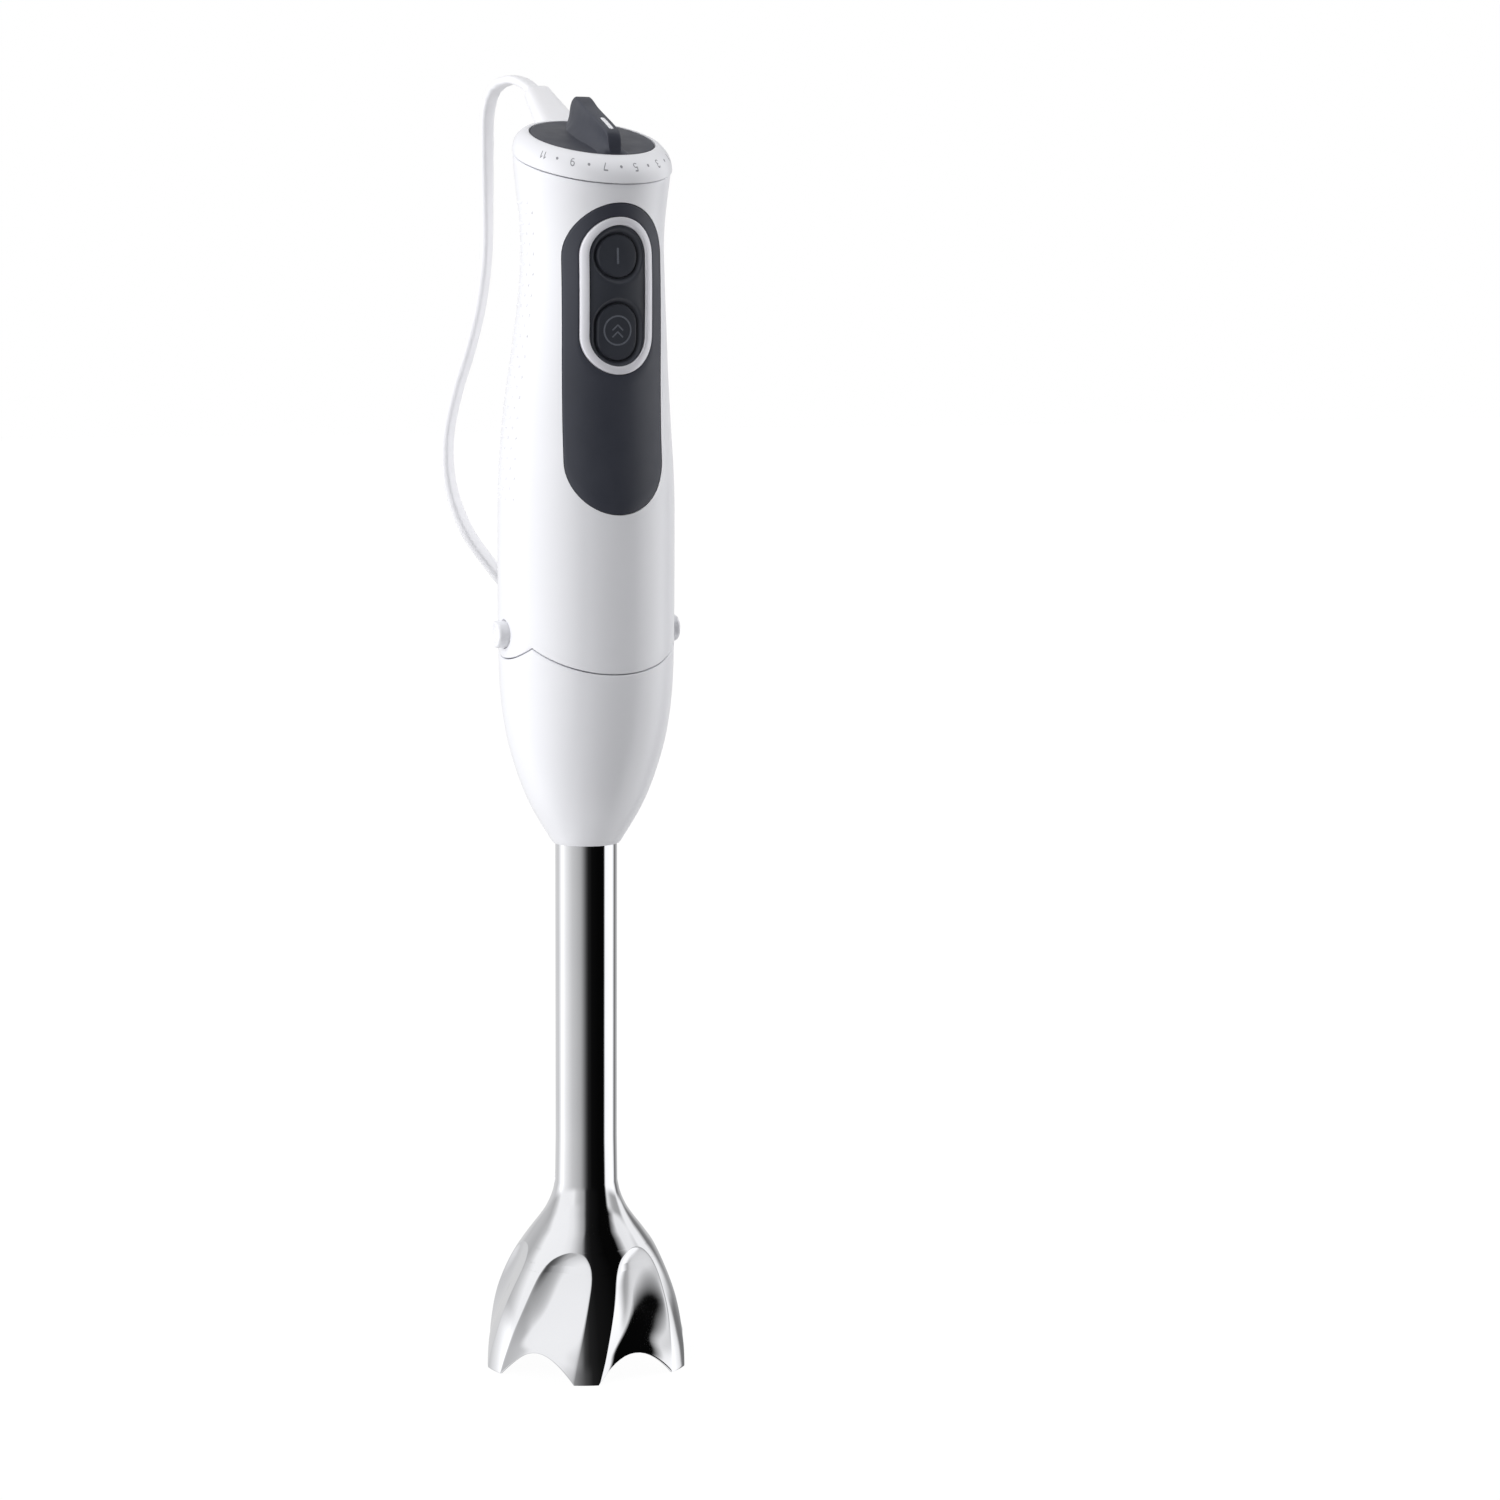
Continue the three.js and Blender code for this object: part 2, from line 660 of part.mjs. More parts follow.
function dialPieces() {
  const plate = solidOf(disc(DIAL_RADIUS, -DIAL_THICK, 0));
  const spindle = solidOf(disc(2, -12, -1, 12));
  const sideways = new THREE.Matrix4().makeBasis(
    new THREE.Vector3(0, 1, 0),
    new THREE.Vector3(0, 0, 1),
    new THREE.Vector3(1, 0, 0),
  );
  const crest = pushed(outline(CREST_OUTLINE), -CREST_WIDTH / 2, CREST_WIDTH / 2);
  const slope = Math.atan2(4.2, 20);
  const mark = (grow, low) =>
    block(
      [-POINTER_WIDTH / 2 - grow, POINTER_WIDTH / 2 + grow],
      [-grow, POINTER_LENGTH + grow],
      [low, 0.2],
    )
      .rotateX(slope)
      .translate(0, -10.8, 5.35);
  const dial = plate.add(spindle).add(solidOf(crest.applyMatrix4(sideways)));
  const cut = geometryOf(dial.subtract(solidOf(mark(GAP, -1.2))));
  add("speed_dial", tilted(cut, CAP_TOP_HEIGHT), "dark");
  add("dial_pointer", tilted(mark(0, -0.9), CAP_TOP_HEIGHT), "white");
}

function releasePieces() {
  for (const [name, side] of [["left", -1], ["right", 1]]) {
    const knob = solidOf(disc(RELEASE_RADIUS, 23.5, RELEASE_REACH, 24));
    const flange = solidOf(disc(RELEASE_RADIUS + 1, 22.4, 23.6, 24));
    const button = geometryOf(knob.add(flange)).rotateY((side * Math.PI) / 2);
    add(`release_button_${name}`, button.translate(0, 0, RELEASE_HEIGHT), "white");
  }
  add("latch_spring", sector(20.9, 22.1, -80, 260, 230.9, 231.9), "steel");
}

// Tapered sleeve from the back of the cap to the cord, grown by a gap for its hole in cap and grip
function strainRelief(grow, length) {
  const from = new THREE.Vector3(0, 15.5, 374.4);
  const to = behind(CORD_ROUTE[0]);
  const along = to.clone().sub(from);
  const full = along.length() - 3 * GAP;
  const end = Math.min(length, full);
  const taper = RELIEF_RADIUS - (RELIEF_TAPER * end) / full;
  const sleeve = new THREE.CylinderGeometry(taper + grow, RELIEF_RADIUS + grow, end, SMALL_ROUND)
    .translate(0, end / 2, 0)
    .scale(1, 1, RELIEF_FLATNESS);
  const turn = new THREE.Quaternion().setFromUnitVectors(
    new THREE.Vector3(0, 1, 0),
    along.normalize(),
  );
  return sleeve.applyQuaternion(turn).translate(from.x, from.y, from.z);
}

function tube(route, steps) {
  const section = new THREE.Shape().absarc(0, 0, CORD_THICK / 2, 0, 2 * Math.PI, false);
  const line = new THREE.CatmullRomCurve3(route.map(behind), false, "centripetal");
  return new THREE.ExtrudeGeometry(section, {
    steps,
    extrudePath: line,
    curveSegments: 2,
    bevelEnabled: false,
  });
}

// Turns a geometry that lies in [right, behind, up] into the part's frame
function layBehind(geometry) {
  return geometry.rotateZ(VIEW_TURN);
}

function hank() {
  const r = HANK_HALF_WIDTH;
  const shape = new THREE.Shape();
  shape.absarc(0, HANK_FAR - r, r, 0, Math.PI, false);
  shape.absarc(0, HANK_NEAR + r, r, Math.PI, 2 * Math.PI, false);
  return layBehind(pushed(shape, 0.1, HANK_HEIGHT));
}

// A flat plug with two round pins, lying on the hank with the pins towards the guard
function plugPieces() {
  const shape = outline([
    [-13, PLUG_FRONT],
    [13, PLUG_FRONT],
    [17, PLUG_FRONT + 5],
    [17, PLUG_FRONT + 13],
    [5.5, PLUG_BACK],
    [-5.5, PLUG_BACK],
    [-17, PLUG_FRONT + 13],
    [-17, PLUG_FRONT + 5],
  ]);
  const body = pushed(shape, PLUG_BOTTOM, PLUG_BOTTOM + PLUG_THICK);
  add("plug_body", layBehind(body), "cord");
  for (const [name, side] of [["left", -1], ["right", 1]]) {
    const pin = disc(PIN_RADIUS, 0, PIN_LENGTH, 12)
      .rotateX(Math.PI / 2)
      .translate((side * PIN_SPACING) / 2, PLUG_FRONT - GAP, PLUG_MIDDLE);
    add(`plug_pin_${name}`, layBehind(pin), "brass");
  }
}

function cordPieces() {
  add("cord_strain_relief", strainRelief(0, 100), "cord");
  add("mains_cord", tube(CORD_ROUTE, 68), "cord");
  add("cord_hank", hank(), "cord");
  add("plug_lead", tube(LEAD_ROUTE, 16), "cord");
  plugPieces();
}

shaftPieces();
bladeRotorPieces();
motorRotorPieces();
motorPieces();
electronicPieces();
add("grip_shell", gripShell(), "white");
panelPieces();
capPieces();
dialPieces();
releasePieces();
cordPieces();

export default blender;
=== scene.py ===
import math

import bmesh
import bpy
from mathutils import Matrix, Vector


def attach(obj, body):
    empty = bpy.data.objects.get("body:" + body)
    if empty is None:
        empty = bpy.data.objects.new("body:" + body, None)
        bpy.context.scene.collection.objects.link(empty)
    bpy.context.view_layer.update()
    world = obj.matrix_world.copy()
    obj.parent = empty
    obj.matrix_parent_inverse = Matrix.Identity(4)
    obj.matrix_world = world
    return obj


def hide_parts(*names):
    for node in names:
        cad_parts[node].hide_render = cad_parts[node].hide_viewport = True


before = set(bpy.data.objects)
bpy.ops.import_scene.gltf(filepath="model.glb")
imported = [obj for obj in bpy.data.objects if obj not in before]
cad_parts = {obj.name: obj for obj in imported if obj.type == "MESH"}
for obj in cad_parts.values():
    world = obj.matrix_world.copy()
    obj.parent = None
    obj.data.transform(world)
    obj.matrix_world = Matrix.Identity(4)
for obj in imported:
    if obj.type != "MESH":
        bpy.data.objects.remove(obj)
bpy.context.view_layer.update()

MM = 0.001
GAP = 0.3
TINY = 1e-3
SHARP = 35

# ---------------- camera

CAMERA_TURN = math.radians(-22.5)
CAMERA_DISTANCE = 1.100
CAMERA_HEIGHT = 0.3336
CAMERA_YAW = math.radians(-25.09)
CAMERA_DIP = math.radians(90 - 7.482)
CAMERA_ROLL = math.radians(0.33)
CAMERA_LENS = 87.66


def add_camera():
    """A camera placed and aimed like the photo's."""
    camera = bpy.data.objects.new("camera", bpy.data.cameras.new("camera"))
    bpy.context.scene.collection.objects.link(camera)
    place = Vector(
        (
            CAMERA_DISTANCE * math.sin(CAMERA_TURN),
            -CAMERA_DISTANCE * math.cos(CAMERA_TURN),
            CAMERA_HEIGHT,
        )
    )
    camera.matrix_world = (
        Matrix.Translation(place)
        @ Matrix.Rotation(CAMERA_YAW, 4, "Z")
        @ Matrix.Rotation(CAMERA_DIP, 4, "X")
        @ Matrix.Rotation(CAMERA_ROLL, 4, "Z")
    )
    camera.data.sensor_width = 36
    camera.data.lens = CAMERA_LENS
    camera.data.clip_start = 0.01
    bpy.context.scene.camera = camera


add_camera()

# ---------------- small tools


def smooth_at(table, at):
    """Smooth curve through a table of (place, value), held flat outside it."""
    if at <= table[0][0]:
        return table[0][1]
    if at >= table[-1][0]:
        return table[-1][1]
    i = max(k for k in range(len(table) - 1) if table[k][0] <= at)

    def slope(k):
        low, high = max(k - 1, 0), min(k + 1, len(table) - 1)
        return (table[high][1] - table[low][1]) / (table[high][0] - table[low][0])

    (a, va), (b, vb) = table[i], table[i + 1]
    t, span = (at - a) / (b - a), b - a
    return (
        va * (2 * t**3 - 3 * t**2 + 1)
        + vb * (3 * t**2 - 2 * t**3)
        + slope(i) * span * (t**3 - 2 * t**2 + t)
        + slope(i + 1) * span * (t**3 - t**2)
    )


def smoothstep(x, low, high):
    t = min(1, max(0, (x - low) / (high - low)))
    return t * t * (3 - 2 * t)


def mix(a, b, t):
    return a + (b - a) * t


def rounded(points, radius, steps):
    """A closed outline with its corners rounded."""
    out = []
    for i, p in enumerate(points):
        p = Vector(p)
        before, after = Vector(points[i - 1]), Vector(points[(i + 1) % len(points)])
        cut = min(radius, 0.48 * (before - p).length, 0.48 * (after - p).length)
        start = p + (before - p).normalized() * cut
        end = p + (after - p).normalized() * cut
        for k in range(steps + 1):
            t = k / steps
            out.append(tuple(start * (1 - t) ** 2 + p * 2 * t * (1 - t) + end * t**2))
    return out


def loft(curves, along=False):
    """Vertices and faces of a skin over closed curves with the same number of points."""
    n, rows = len(curves[0]), len(curves)
    faces = []
    for i in range(rows if along else rows - 1):
        for j in range(n):
            k = (j + 1) % n
            below, above = i * n, ((i + 1) % rows) * n
            faces.append((below + j, below + k, above + k, above + j))
    return [p for curve in curves for p in curve], faces


def capped(curves):
    """A skin closed by a flat face at both ends."""
    verts, faces = loft(curves)
    n = len(curves[0])
    return verts, faces + [tuple(range(n)), tuple(range(len(verts) - n, len(verts)))]


def full_turn(count, start=0.0):
    return [start + 2 * math.pi * k / count for k in range(count)]


def ring_of(radius, count, place):
    """A circle of points; place turns their two distances from its middle into a point."""
    r = max(radius, TINY)
    return [place(r * math.cos(a), r * math.sin(a)) for a in full_turn(count)]


def level_ring(radius, z, angles):
    """A level circle round Z, with the angles counted from the front."""
    r = max(radius, TINY)
    return [(r * math.sin(a), -r * math.cos(a), z) for a in angles]


def turned(profile, sides=96):
    """A closed profile of (radius, height) turned about Z."""
    return loft([level_ring(r, z, full_turn(sides)) for r, z in profile], along=True)


def joined(parts):
    verts, faces = [], []
    for v, f in parts:
        faces += [tuple(i + len(verts) for i in face) for face in f]
        verts += list(v)
    return verts, faces


def moved(part, matrix):
    verts, faces = part
    return [tuple(matrix @ Vector(v)) for v in verts], faces


def smoothed(mesh, sharp):
    mesh.shade_smooth()
    mesh.set_sharp_from_angle(angle=math.radians(sharp))


def mesh_of(name, part, sharp):
    """A mesh in metres of a part in millimetres, its edges sharp above this angle."""
    verts, faces = part
    mesh = bpy.data.meshes.new(name)
    mesh.from_pydata([Vector(v) * MM for v in verts], [], faces)
    work = bmesh.new()
    work.from_mesh(mesh)
    bmesh.ops.remove_doubles(work, verts=work.verts, dist=2e-7)
    bmesh.ops.dissolve_degenerate(work, edges=work.edges, dist=2e-7)
    bmesh.ops.recalc_face_normals(work, faces=work.faces)
    work.to_mesh(mesh)
    work.free()
    smoothed(mesh, sharp)
    return mesh


def object_of(name, part, sharp=SHARP):
    obj = bpy.data.objects.new(name, mesh_of(name, part, sharp))
    bpy.context.scene.collection.objects.link(obj)
    return obj


def cut_away(obj, *parts):
    """Cuts closed parts out of an object."""
    for i, part in enumerate(parts):
        tool = object_of(f"{obj.name}_tool_{i}", part)
        change = obj.modifiers.new("cut", "BOOLEAN")
        change.operation = "DIFFERENCE"
        change.solver = "EXACT"
        change.object = tool
        bpy.context.view_layer.update()
        cut = obj.evaluated_get(bpy.context.evaluated_depsgraph_get())
        done = bpy.data.meshes.new_from_object(cut)
        obj.modifiers.remove(change)
        obj.data = done
        bpy.data.objects.remove(tool)
    smoothed(obj.data, SHARP)


def finished(obj, slot, body, nodes=()):
    """Gives a piece its material, its body and the CAD nodes that it stands for."""
    obj.data.materials.clear()
    obj.data.materials.append(FINISHES[slot])
    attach(obj, body)
    if nodes:
        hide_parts(*nodes)
    return obj


def piece(name, part, slot, body, nodes=(), sharp=SHARP):
    return finished(object_of(name, part, sharp), slot, body, nodes)


# ---------------- materials


class Nodes:
    """Short calls for a material's nodes. Places are in millimetres on the object."""

    def __init__(self, name):
        self.material = bpy.data.materials.new(name)
        self.material.use_nodes = True
        self.tree = self.material.node_tree
        self.shader = self.tree.nodes["Principled BSDF"]
        place = self.tree.nodes.new("ShaderNodeTexCoord")
        self.place = place.outputs["Object"]

    def node(self, kind, **values):
        node = self.tree.nodes.new(kind)
        for key, value in values.items():
            setattr(node, key, value)
        return node

    def link(self, source, target):
        self.tree.links.new(source, target)

    def stretched(self, x, y, z):
        scale = self.node("ShaderNodeMapping")
        scale.inputs["Scale"].default_value = (x, y, z)
        self.link(self.place, scale.inputs["Vector"])
        return scale.outputs["Vector"]

    def noise(self, size, detail=3, place=None):
        """Noise with features of about this size in millimetres."""
        noise = self.node("ShaderNodeTexNoise")
        noise.inputs["Scale"].default_value = 1 / (size * MM)
        noise.inputs["Detail"].default_value = detail
        self.link(place or self.place, noise.inputs["Vector"])
        return noise.outputs["Fac"]

    def wave(self, size, direction, distortion=0.0):
        wave = self.node("ShaderNodeTexWave", bands_direction=direction)
        wave.inputs["Scale"].default_value = 0.314 / (size * MM)
        wave.inputs["Distortion"].default_value = distortion
        self.link(self.place, wave.inputs["Vector"])
        return wave.outputs["Fac"]

    def cells(self, size):
        """Distance to the edges between cells of about this size."""
        cells = self.node("ShaderNodeTexVoronoi", feature="DISTANCE_TO_EDGE")
        cells.inputs["Scale"].default_value = 1 / (size * MM)
        self.link(self.place, cells.inputs["Vector"])
        return cells.outputs["Distance"]

    def ranged(self, source, low, high, start=0.3, end=0.7):
        scale = self.node("ShaderNodeMapRange")
        self.link(source, scale.inputs["Value"])
        scale.inputs["From Min"].default_value = start
        scale.inputs["From Max"].default_value = end
        scale.inputs["To Min"].default_value = low
        scale.inputs["To Max"].default_value = high
        return scale.outputs["Result"]

    def sum(self, a, b, share):
        """a with this share of b added."""
        add = self.node("ShaderNodeMath", operation="MULTIPLY_ADD")
        self.link(b, add.inputs[0])
        add.inputs[1].default_value = share
        self.link(a, add.inputs[2])
        return add.outputs[0]

    def colours(self, factor, dark, light):
        blend = self.node("ShaderNodeMix", data_type="RGBA")
        self.link(factor, blend.inputs["Factor"])
        blend.inputs["A"].default_value = (*dark, 1)
        blend.inputs["B"].default_value = (*light, 1)
        return blend.outputs["Result"]

    def bump(self, height, depth):
        """Raises the surface by up to this depth in millimetres."""
        bump = self.node("ShaderNodeBump")
        bump.inputs["Distance"].default_value = depth * MM
        self.link(height, bump.inputs["Height"])
        self.link(bump.outputs["Normal"], self.shader.inputs["Normal"])

    def set(self, **values):
        for key, value in values.items():
            self.shader.inputs[key.replace("_", " ")].default_value = value

    def paint(self, factor, dark, light):
        self.link(self.colours(factor, dark, light), self.shader.inputs["Base Color"])

    def roughness(self, factor, low, high):
        self.link(self.ranged(factor, low, high), self.shader.inputs["Roughness"])


def shade(colour, by):
    return tuple(c * by for c in colour)


def moulded(name, colour, rough, grain, depth, spread, coat=0.0):
    """Moulded plastic: slow colour drift, a fine spark-eroded grain and uneven gloss."""
    n = Nodes(name)
    drift = n.sum(n.noise(24, 2), n.noise(grain * 3, 2), 0.25)
    n.paint(n.ranged(drift, 0, 1, 0.35, 0.9), shade(colour, 1 - spread), shade(colour, 1 + spread))
    n.roughness(n.noise(6, 4), rough * 0.88, rough * 1.12)
    n.bump(n.sum(n.noise(grain, 3), n.noise(grain * 5, 2), 0.4), depth)
    n.set(Coat_Weight=coat, Coat_Roughness=0.12)
    return n


def white_plastic():
    return moulded("white_plastic", (0.87, 0.875, 0.915), 0.32, 1.6, 0.0006, 0.008, 0.3)


def dark_plastic():
    return moulded("dark_plastic", (0.044, 0.048, 0.065), 0.47, 0.5, 0.004, 0.08)


def soft_plastic():
    n = moulded("soft_plastic", (0.034, 0.038, 0.050), 0.5, 0.6, 0.005, 0.10)
    n.set(Sheen_Weight=0.05)
    return n


def silver_plastic():
    n = moulded("silver_plastic", (0.80, 0.80, 0.85), 0.36, 0.8, 0.001, 0.015)
    n.set(Metallic=0.1)
    return n


def inner_plastic():
    return moulded("inner_plastic", (0.62, 0.62, 0.63), 0.45, 0.4, 0.02, 0.04)


def cord_plastic():
    return moulded("cord_plastic", (0.86, 0.86, 0.89), 0.36, 1.2, 0.002, 0.015)


def black_rubber():
    n = moulded("black_rubber", (0.016, 0.016, 0.017), 0.7, 0.3, 0.03, 0.2)
    n.set(Sheen_Weight=0.1)
    return n


def steel():
    """Polished steel with faint polishing lines and a slow unevenness of its gloss."""
    n = Nodes("steel")
    n.paint(n.ranged(n.noise(30, 2), 0, 1), (0.80, 0.805, 0.83), (0.84, 0.845, 0.865))
    lines = n.noise(9, 3, n.stretched(1, 1, 60))
    n.link(n.ranged(n.sum(n.noise(14, 3), lines, 0.3), 0.03, 0.07, 0.4, 0.9), n.shader.inputs["Roughness"])
    n.bump(lines, 0.0008)
    n.set(Metallic=1.0)
    return n


def bare_steel():
    """Ground steel with fine scratches across."""
    n = Nodes("bare_steel")
    n.paint(n.ranged(n.noise(8, 3), 0, 1), (0.55, 0.56, 0.58), (0.66, 0.67, 0.69))
    scratches = n.noise(1.2, 4, n.stretched(1, 12, 1))
    n.roughness(scratches, 0.2, 0.36)
    n.bump(scratches, 0.01)
    n.set(Metallic=1.0)
    return n


def iron():
    """A stack of thin iron sheets. Their colour is painted darker in the grooves between the sheets and
    lighter on their raised middles: painted shade.
    """
    n = Nodes("iron")
    sheets = n.wave(0.5, "Z")
    # The colour follows the same bands as the bump: painted shade in the grooves between the sheets.
    tone_with_groove_shade = n.sum(n.ranged(sheets, 0, 0.7, 0, 1), n.noise(2, 3), 0.4)
    n.paint(tone_with_groove_shade, (0.12, 0.12, 0.13), (0.32, 0.33, 0.35))
    n.roughness(n.noise(3, 4), 0.35, 0.6)
    n.bump(sheets, 0.06)
    n.set(Metallic=0.85)
    return n


def copper():
    """Varnished winding wire, laid side by side. Its colour is painted darker in the grooves between the
    wires and lighter on their tops: painted shade.
    """
    n = Nodes("copper")
    wires = n.wave(0.45, "Z", 0.6)
    # The colour follows the same waves as the bump: painted shade in the grooves between the wires.
    tone_with_groove_shade = n.sum(n.ranged(wires, 0, 0.7, 0, 1), n.noise(1.5, 3), 0.3)
    n.paint(tone_with_groove_shade, (0.22, 0.07, 0.025), (0.62, 0.26, 0.11))
    n.roughness(n.noise(2, 3), 0.22, 0.4)
    n.bump(wires, 0.12)
    n.set(Metallic=0.9, Coat_Weight=0.4, Coat_Roughness=0.15)
    return n


def turned_metal(name, dark, light, rough):
    """Turned metal with fine tool marks."""
    n = Nodes(name)
    marks = n.noise(3, 4, n.stretched(1, 1, 14))
    n.paint(n.ranged(n.sum(n.noise(5, 3), marks, 0.4), 0, 1, 0.4, 0.9), dark, light)
    n.roughness(marks, rough * 0.75, rough * 1.25)
    n.bump(marks, 0.008)
    n.set(Metallic=1.0)
    return n


def bronze():
    return turned_metal("bronze", (0.36, 0.22, 0.09), (0.5, 0.33, 0.15), 0.36)


def brass():
    return turned_metal("brass", (0.62, 0.46, 0.2), (0.78, 0.62, 0.32), 0.22)


def carbon():
    n = Nodes("carbon")
    n.paint(n.ranged(n.noise(0.25, 4), 0, 1), (0.012, 0.012, 0.013), (0.05, 0.05, 0.054))
    n.roughness(n.noise(0.6, 3), 0.45, 0.7)
    n.bump(n.noise(0.2, 3), 0.03)
    return n


def board():
    """Green solder mask over copper tracks."""
    n = Nodes("board")
    tracks = n.cells(2.4)
    n.paint(n.ranged(tracks, 0, 1, 0.05, 0.12), (0.05, 0.17, 0.07), (0.016, 0.075, 0.03))
    n.roughness(n.noise(2, 3), 0.25, 0.4)
    n.bump(n.ranged(tracks, 1, 0, 0.05, 0.12), 0.05)
    n.set(Coat_Weight=0.5, Coat_Roughness=0.1)
    return n


def ink(name, grain, dark, light, depth):
    """Printed ink: a fine speckle and a slightly uneven sheen."""
    n = Nodes(name)
    n.paint(n.ranged(n.noise(grain, 3), 0, 1), dark, light)
    n.roughness(n.noise(0.5, 3), 0.4, 0.6)
    n.bump(n.noise(0.2, 2), depth)
    return n.material


MAKERS = [
    white_plastic, dark_plastic, soft_plastic, silver_plastic, inner_plastic, cord_plastic,
    black_rubber, steel, bare_steel, iron, copper, bronze, brass, carbon, board,
]
FINISHES = {maker.__name__: maker().material for maker in MAKERS}
PRINT_INK = ink("print_ink", 0.3, (0.25, 0.25, 0.28), (0.36, 0.36, 0.39), 0.003)
BUTTON_INK = ink("button_ink", 0.4, (0.11, 0.12, 0.145), (0.15, 0.16, 0.19), 0.004)


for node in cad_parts.values():
    for place in node.material_slots:
        place.material = FINISHES[place.material.name.split(".")[0]]

# ---------------- cord

CORD_WIDE = 4.9
CORD_THIN = 2.7
# The middle line of the free cord, each point [to the right, behind, up] as seen from the camera.
CORD_ROUTE = [
    (-14.8, 37.5, 386.7), (-19, 44, 390.4), (-23.7, 50, 391.6), (-28.4, 54, 389),
    (-30.6, 56, 382.5), (-31, 56.3, 371), (-31, 56.2, 356), (-31.2, 55.5, 338),
    (-33, 54, 323), (-36.3, 52.5, 309), (-40.6, 52, 295), (-43.4, 53, 281),
    (-42.8, 56, 266), (-38, 61, 251.5), (-29.5, 67.5, 238.5), (-20, 74.5, 226),
    (-12.5, 81.5, 212), (-8, 88, 196), (-6.5, 95, 176), (-6.5, 102, 152),
    (-6.5, 108.5, 126), (-6.5, 114, 99), (-6.5, 117.5, 73), (-7, 118, 52),
    (-7.8, 115, 34), (-9.6, 107.5, 21), (-10.3, 97.5, 14.2), (-10.2, 86, 9.6), (-9.6, 73, 6),
]
# The wide side of the flat cord points this way from the numbered point of the route on.
CORD_SIDES = [
    (0, (0.8, 0.6, 0)), (2, (0.72, 0.67, 0)), (5, (0.44, 0.9, 0)), (13, (0.6, 0.8, 0)),
    (17, (1, 0.2, 0)), (23, (1, 0, 0)), (25, (0.5, 0, 0.8)), (26, (0, 0, 1)),
]
RELIEF_SIDE = (1, 0.25, 0)
# The lead from the hank to the plug, with the two points where it rises off the hank.
LEAD_RISE = [(12.4, 82, 10.4), (13.3, 90, 12.6)]
LEAD_ROUTE = [
    (13.6, 98, 14), (13.6, 106, 14), (11, 112.4, 14.2), (4.6, 115, 14.8), (-1.8, 112.4, 15.6),
    (-4.4, 106, 16.8), (-2.2, 100.1, 18.4), (-0.5, 97.3, 19), (0, 94.7, 19.2), (0, 90, 19.2),
]
HANK_ENTRY = (-10.6, 62, 3.4)
HANK_STRAIGHT = (54.2, 101.8)
HANK_RADII = (11.5, 14.6)
HANK_LAYERS = (2.7, 8.5)


def behind(point):
    """The object's own coordinates of a point [to the right, behind, up] as seen from the camera."""
    return Matrix.Rotation(CAMERA_TURN, 3, "Z") @ Vector(point)


def spline(points, step):
    """Centripetal curve through points, as points about a step apart."""
    points = [Vector(p) for p in points]
    ends = [2 * points[0] - points[1], *points, 2 * points[-1] - points[-2]]
    out = []
    for p0, p1, p2, p3 in zip(ends, ends[1:], ends[2:], ends[3:]):
        t1 = (p1 - p0).length ** 0.5
        t2 = t1 + (p2 - p1).length ** 0.5
        t3 = t2 + (p3 - p2).length ** 0.5
        count = max(2, round((p2 - p1).length / step))
        for k in range(count):
            t = mix(t1, t2, k / count)
            a1 = p0.lerp(p1, t / t1)
            a2 = p1.lerp(p2, (t - t1) / (t2 - t1))
            a3 = p2.lerp(p3, (t - t2) / (t3 - t2))
            b1 = a1.lerp(a2, t / t2)
            b2 = a2.lerp(a3, (t - t1) / (t3 - t1))
            out.append(b1.lerp(b2, (t - t1) / (t2 - t1)))
    return [*out, points[-1]]


def hank_point(turns):
    """Place on the winding after so many turns: lower layer from inside out, then the upper one."""
    whole = int(turns)
    along = turns - whole
    radii = [HANK_RADII[0], HANK_RADII[1], HANK_RADII[1], HANK_RADII[0], HANK_RADII[0]]
    layers = [HANK_LAYERS[0], HANK_LAYERS[0], HANK_LAYERS[1], HANK_LAYERS[1], HANK_LAYERS[1]]
    near, far = HANK_STRAIGHT
    change = smoothstep(along, 0.76, 1.0)
    r = mix(radii[whole], radii[whole + 1], change)
    up = mix(layers[whole], layers[whole + 1], change)
    length = far - near
    bend = math.pi * r
    s = along * (2 * length + 2 * bend)
    if s < bend:
        a = s / r
        return -r * math.cos(a), near - r * math.sin(a), up
    if s < bend + length:
        return r, near + s - bend, up
    if s < 2 * bend + length:
        a = (s - bend - length) / r
        return r * math.cos(a), far + r * math.sin(a), up
    return -r, far - (s - 2 * bend - length), up


HANK_TURNS = 3.3
HANK_STEPS = 62
hank_line = [hank_point(k / HANK_STEPS) for k in range(int(HANK_TURNS * HANK_STEPS) + 1)]
free_line = spline(CORD_ROUTE, 3)
lead_line = spline([hank_line[-3], hank_line[-1], *LEAD_RISE, LEAD_ROUTE[0]], 3)[1:-1]
lead_line = [p for p in lead_line if p.y > hank_line[-1][1] + 1]
lead_line += spline(LEAD_ROUTE, 2.5)
join_line = spline([CORD_ROUTE[-2], CORD_ROUTE[-1], HANK_ENTRY, hank_line[0], hank_line[4]], 3)
join_line = [p for p in join_line if p.y < CORD_ROUTE[-1][1] - 1 and p.y > HANK_STRAIGHT[0] + 1]
cord_line = [Vector(p) for p in [*free_line, *join_line, *hank_line, *lead_line]]


def cord_side(index):
    """The way that the wide side points at a place on the whole line."""
    share = min(index / (len(free_line) - 1), 1) * (len(CORD_ROUTE) - 1)
    sides = CORD_SIDES
    if share >= sides[-1][0]:
        return Vector(sides[-1][1])
    k = max(i for i in range(len(sides) - 1) if sides[i][0] <= share)
    t = smoothstep(share, sides[k][0], sides[k + 1][0])
    return Vector(sides[k][1]).lerp(Vector(sides[k + 1][1]), t)


def flat_section(wide, thin, steps=4):
    """Outline of a flat cord: a bar with round edges."""
    corners = [(-wide / 2, -thin / 2), (wide / 2, -thin / 2), (wide / 2, thin / 2), (-wide / 2, thin / 2)]
    return rounded(corners, thin / 2 * 0.96, steps)


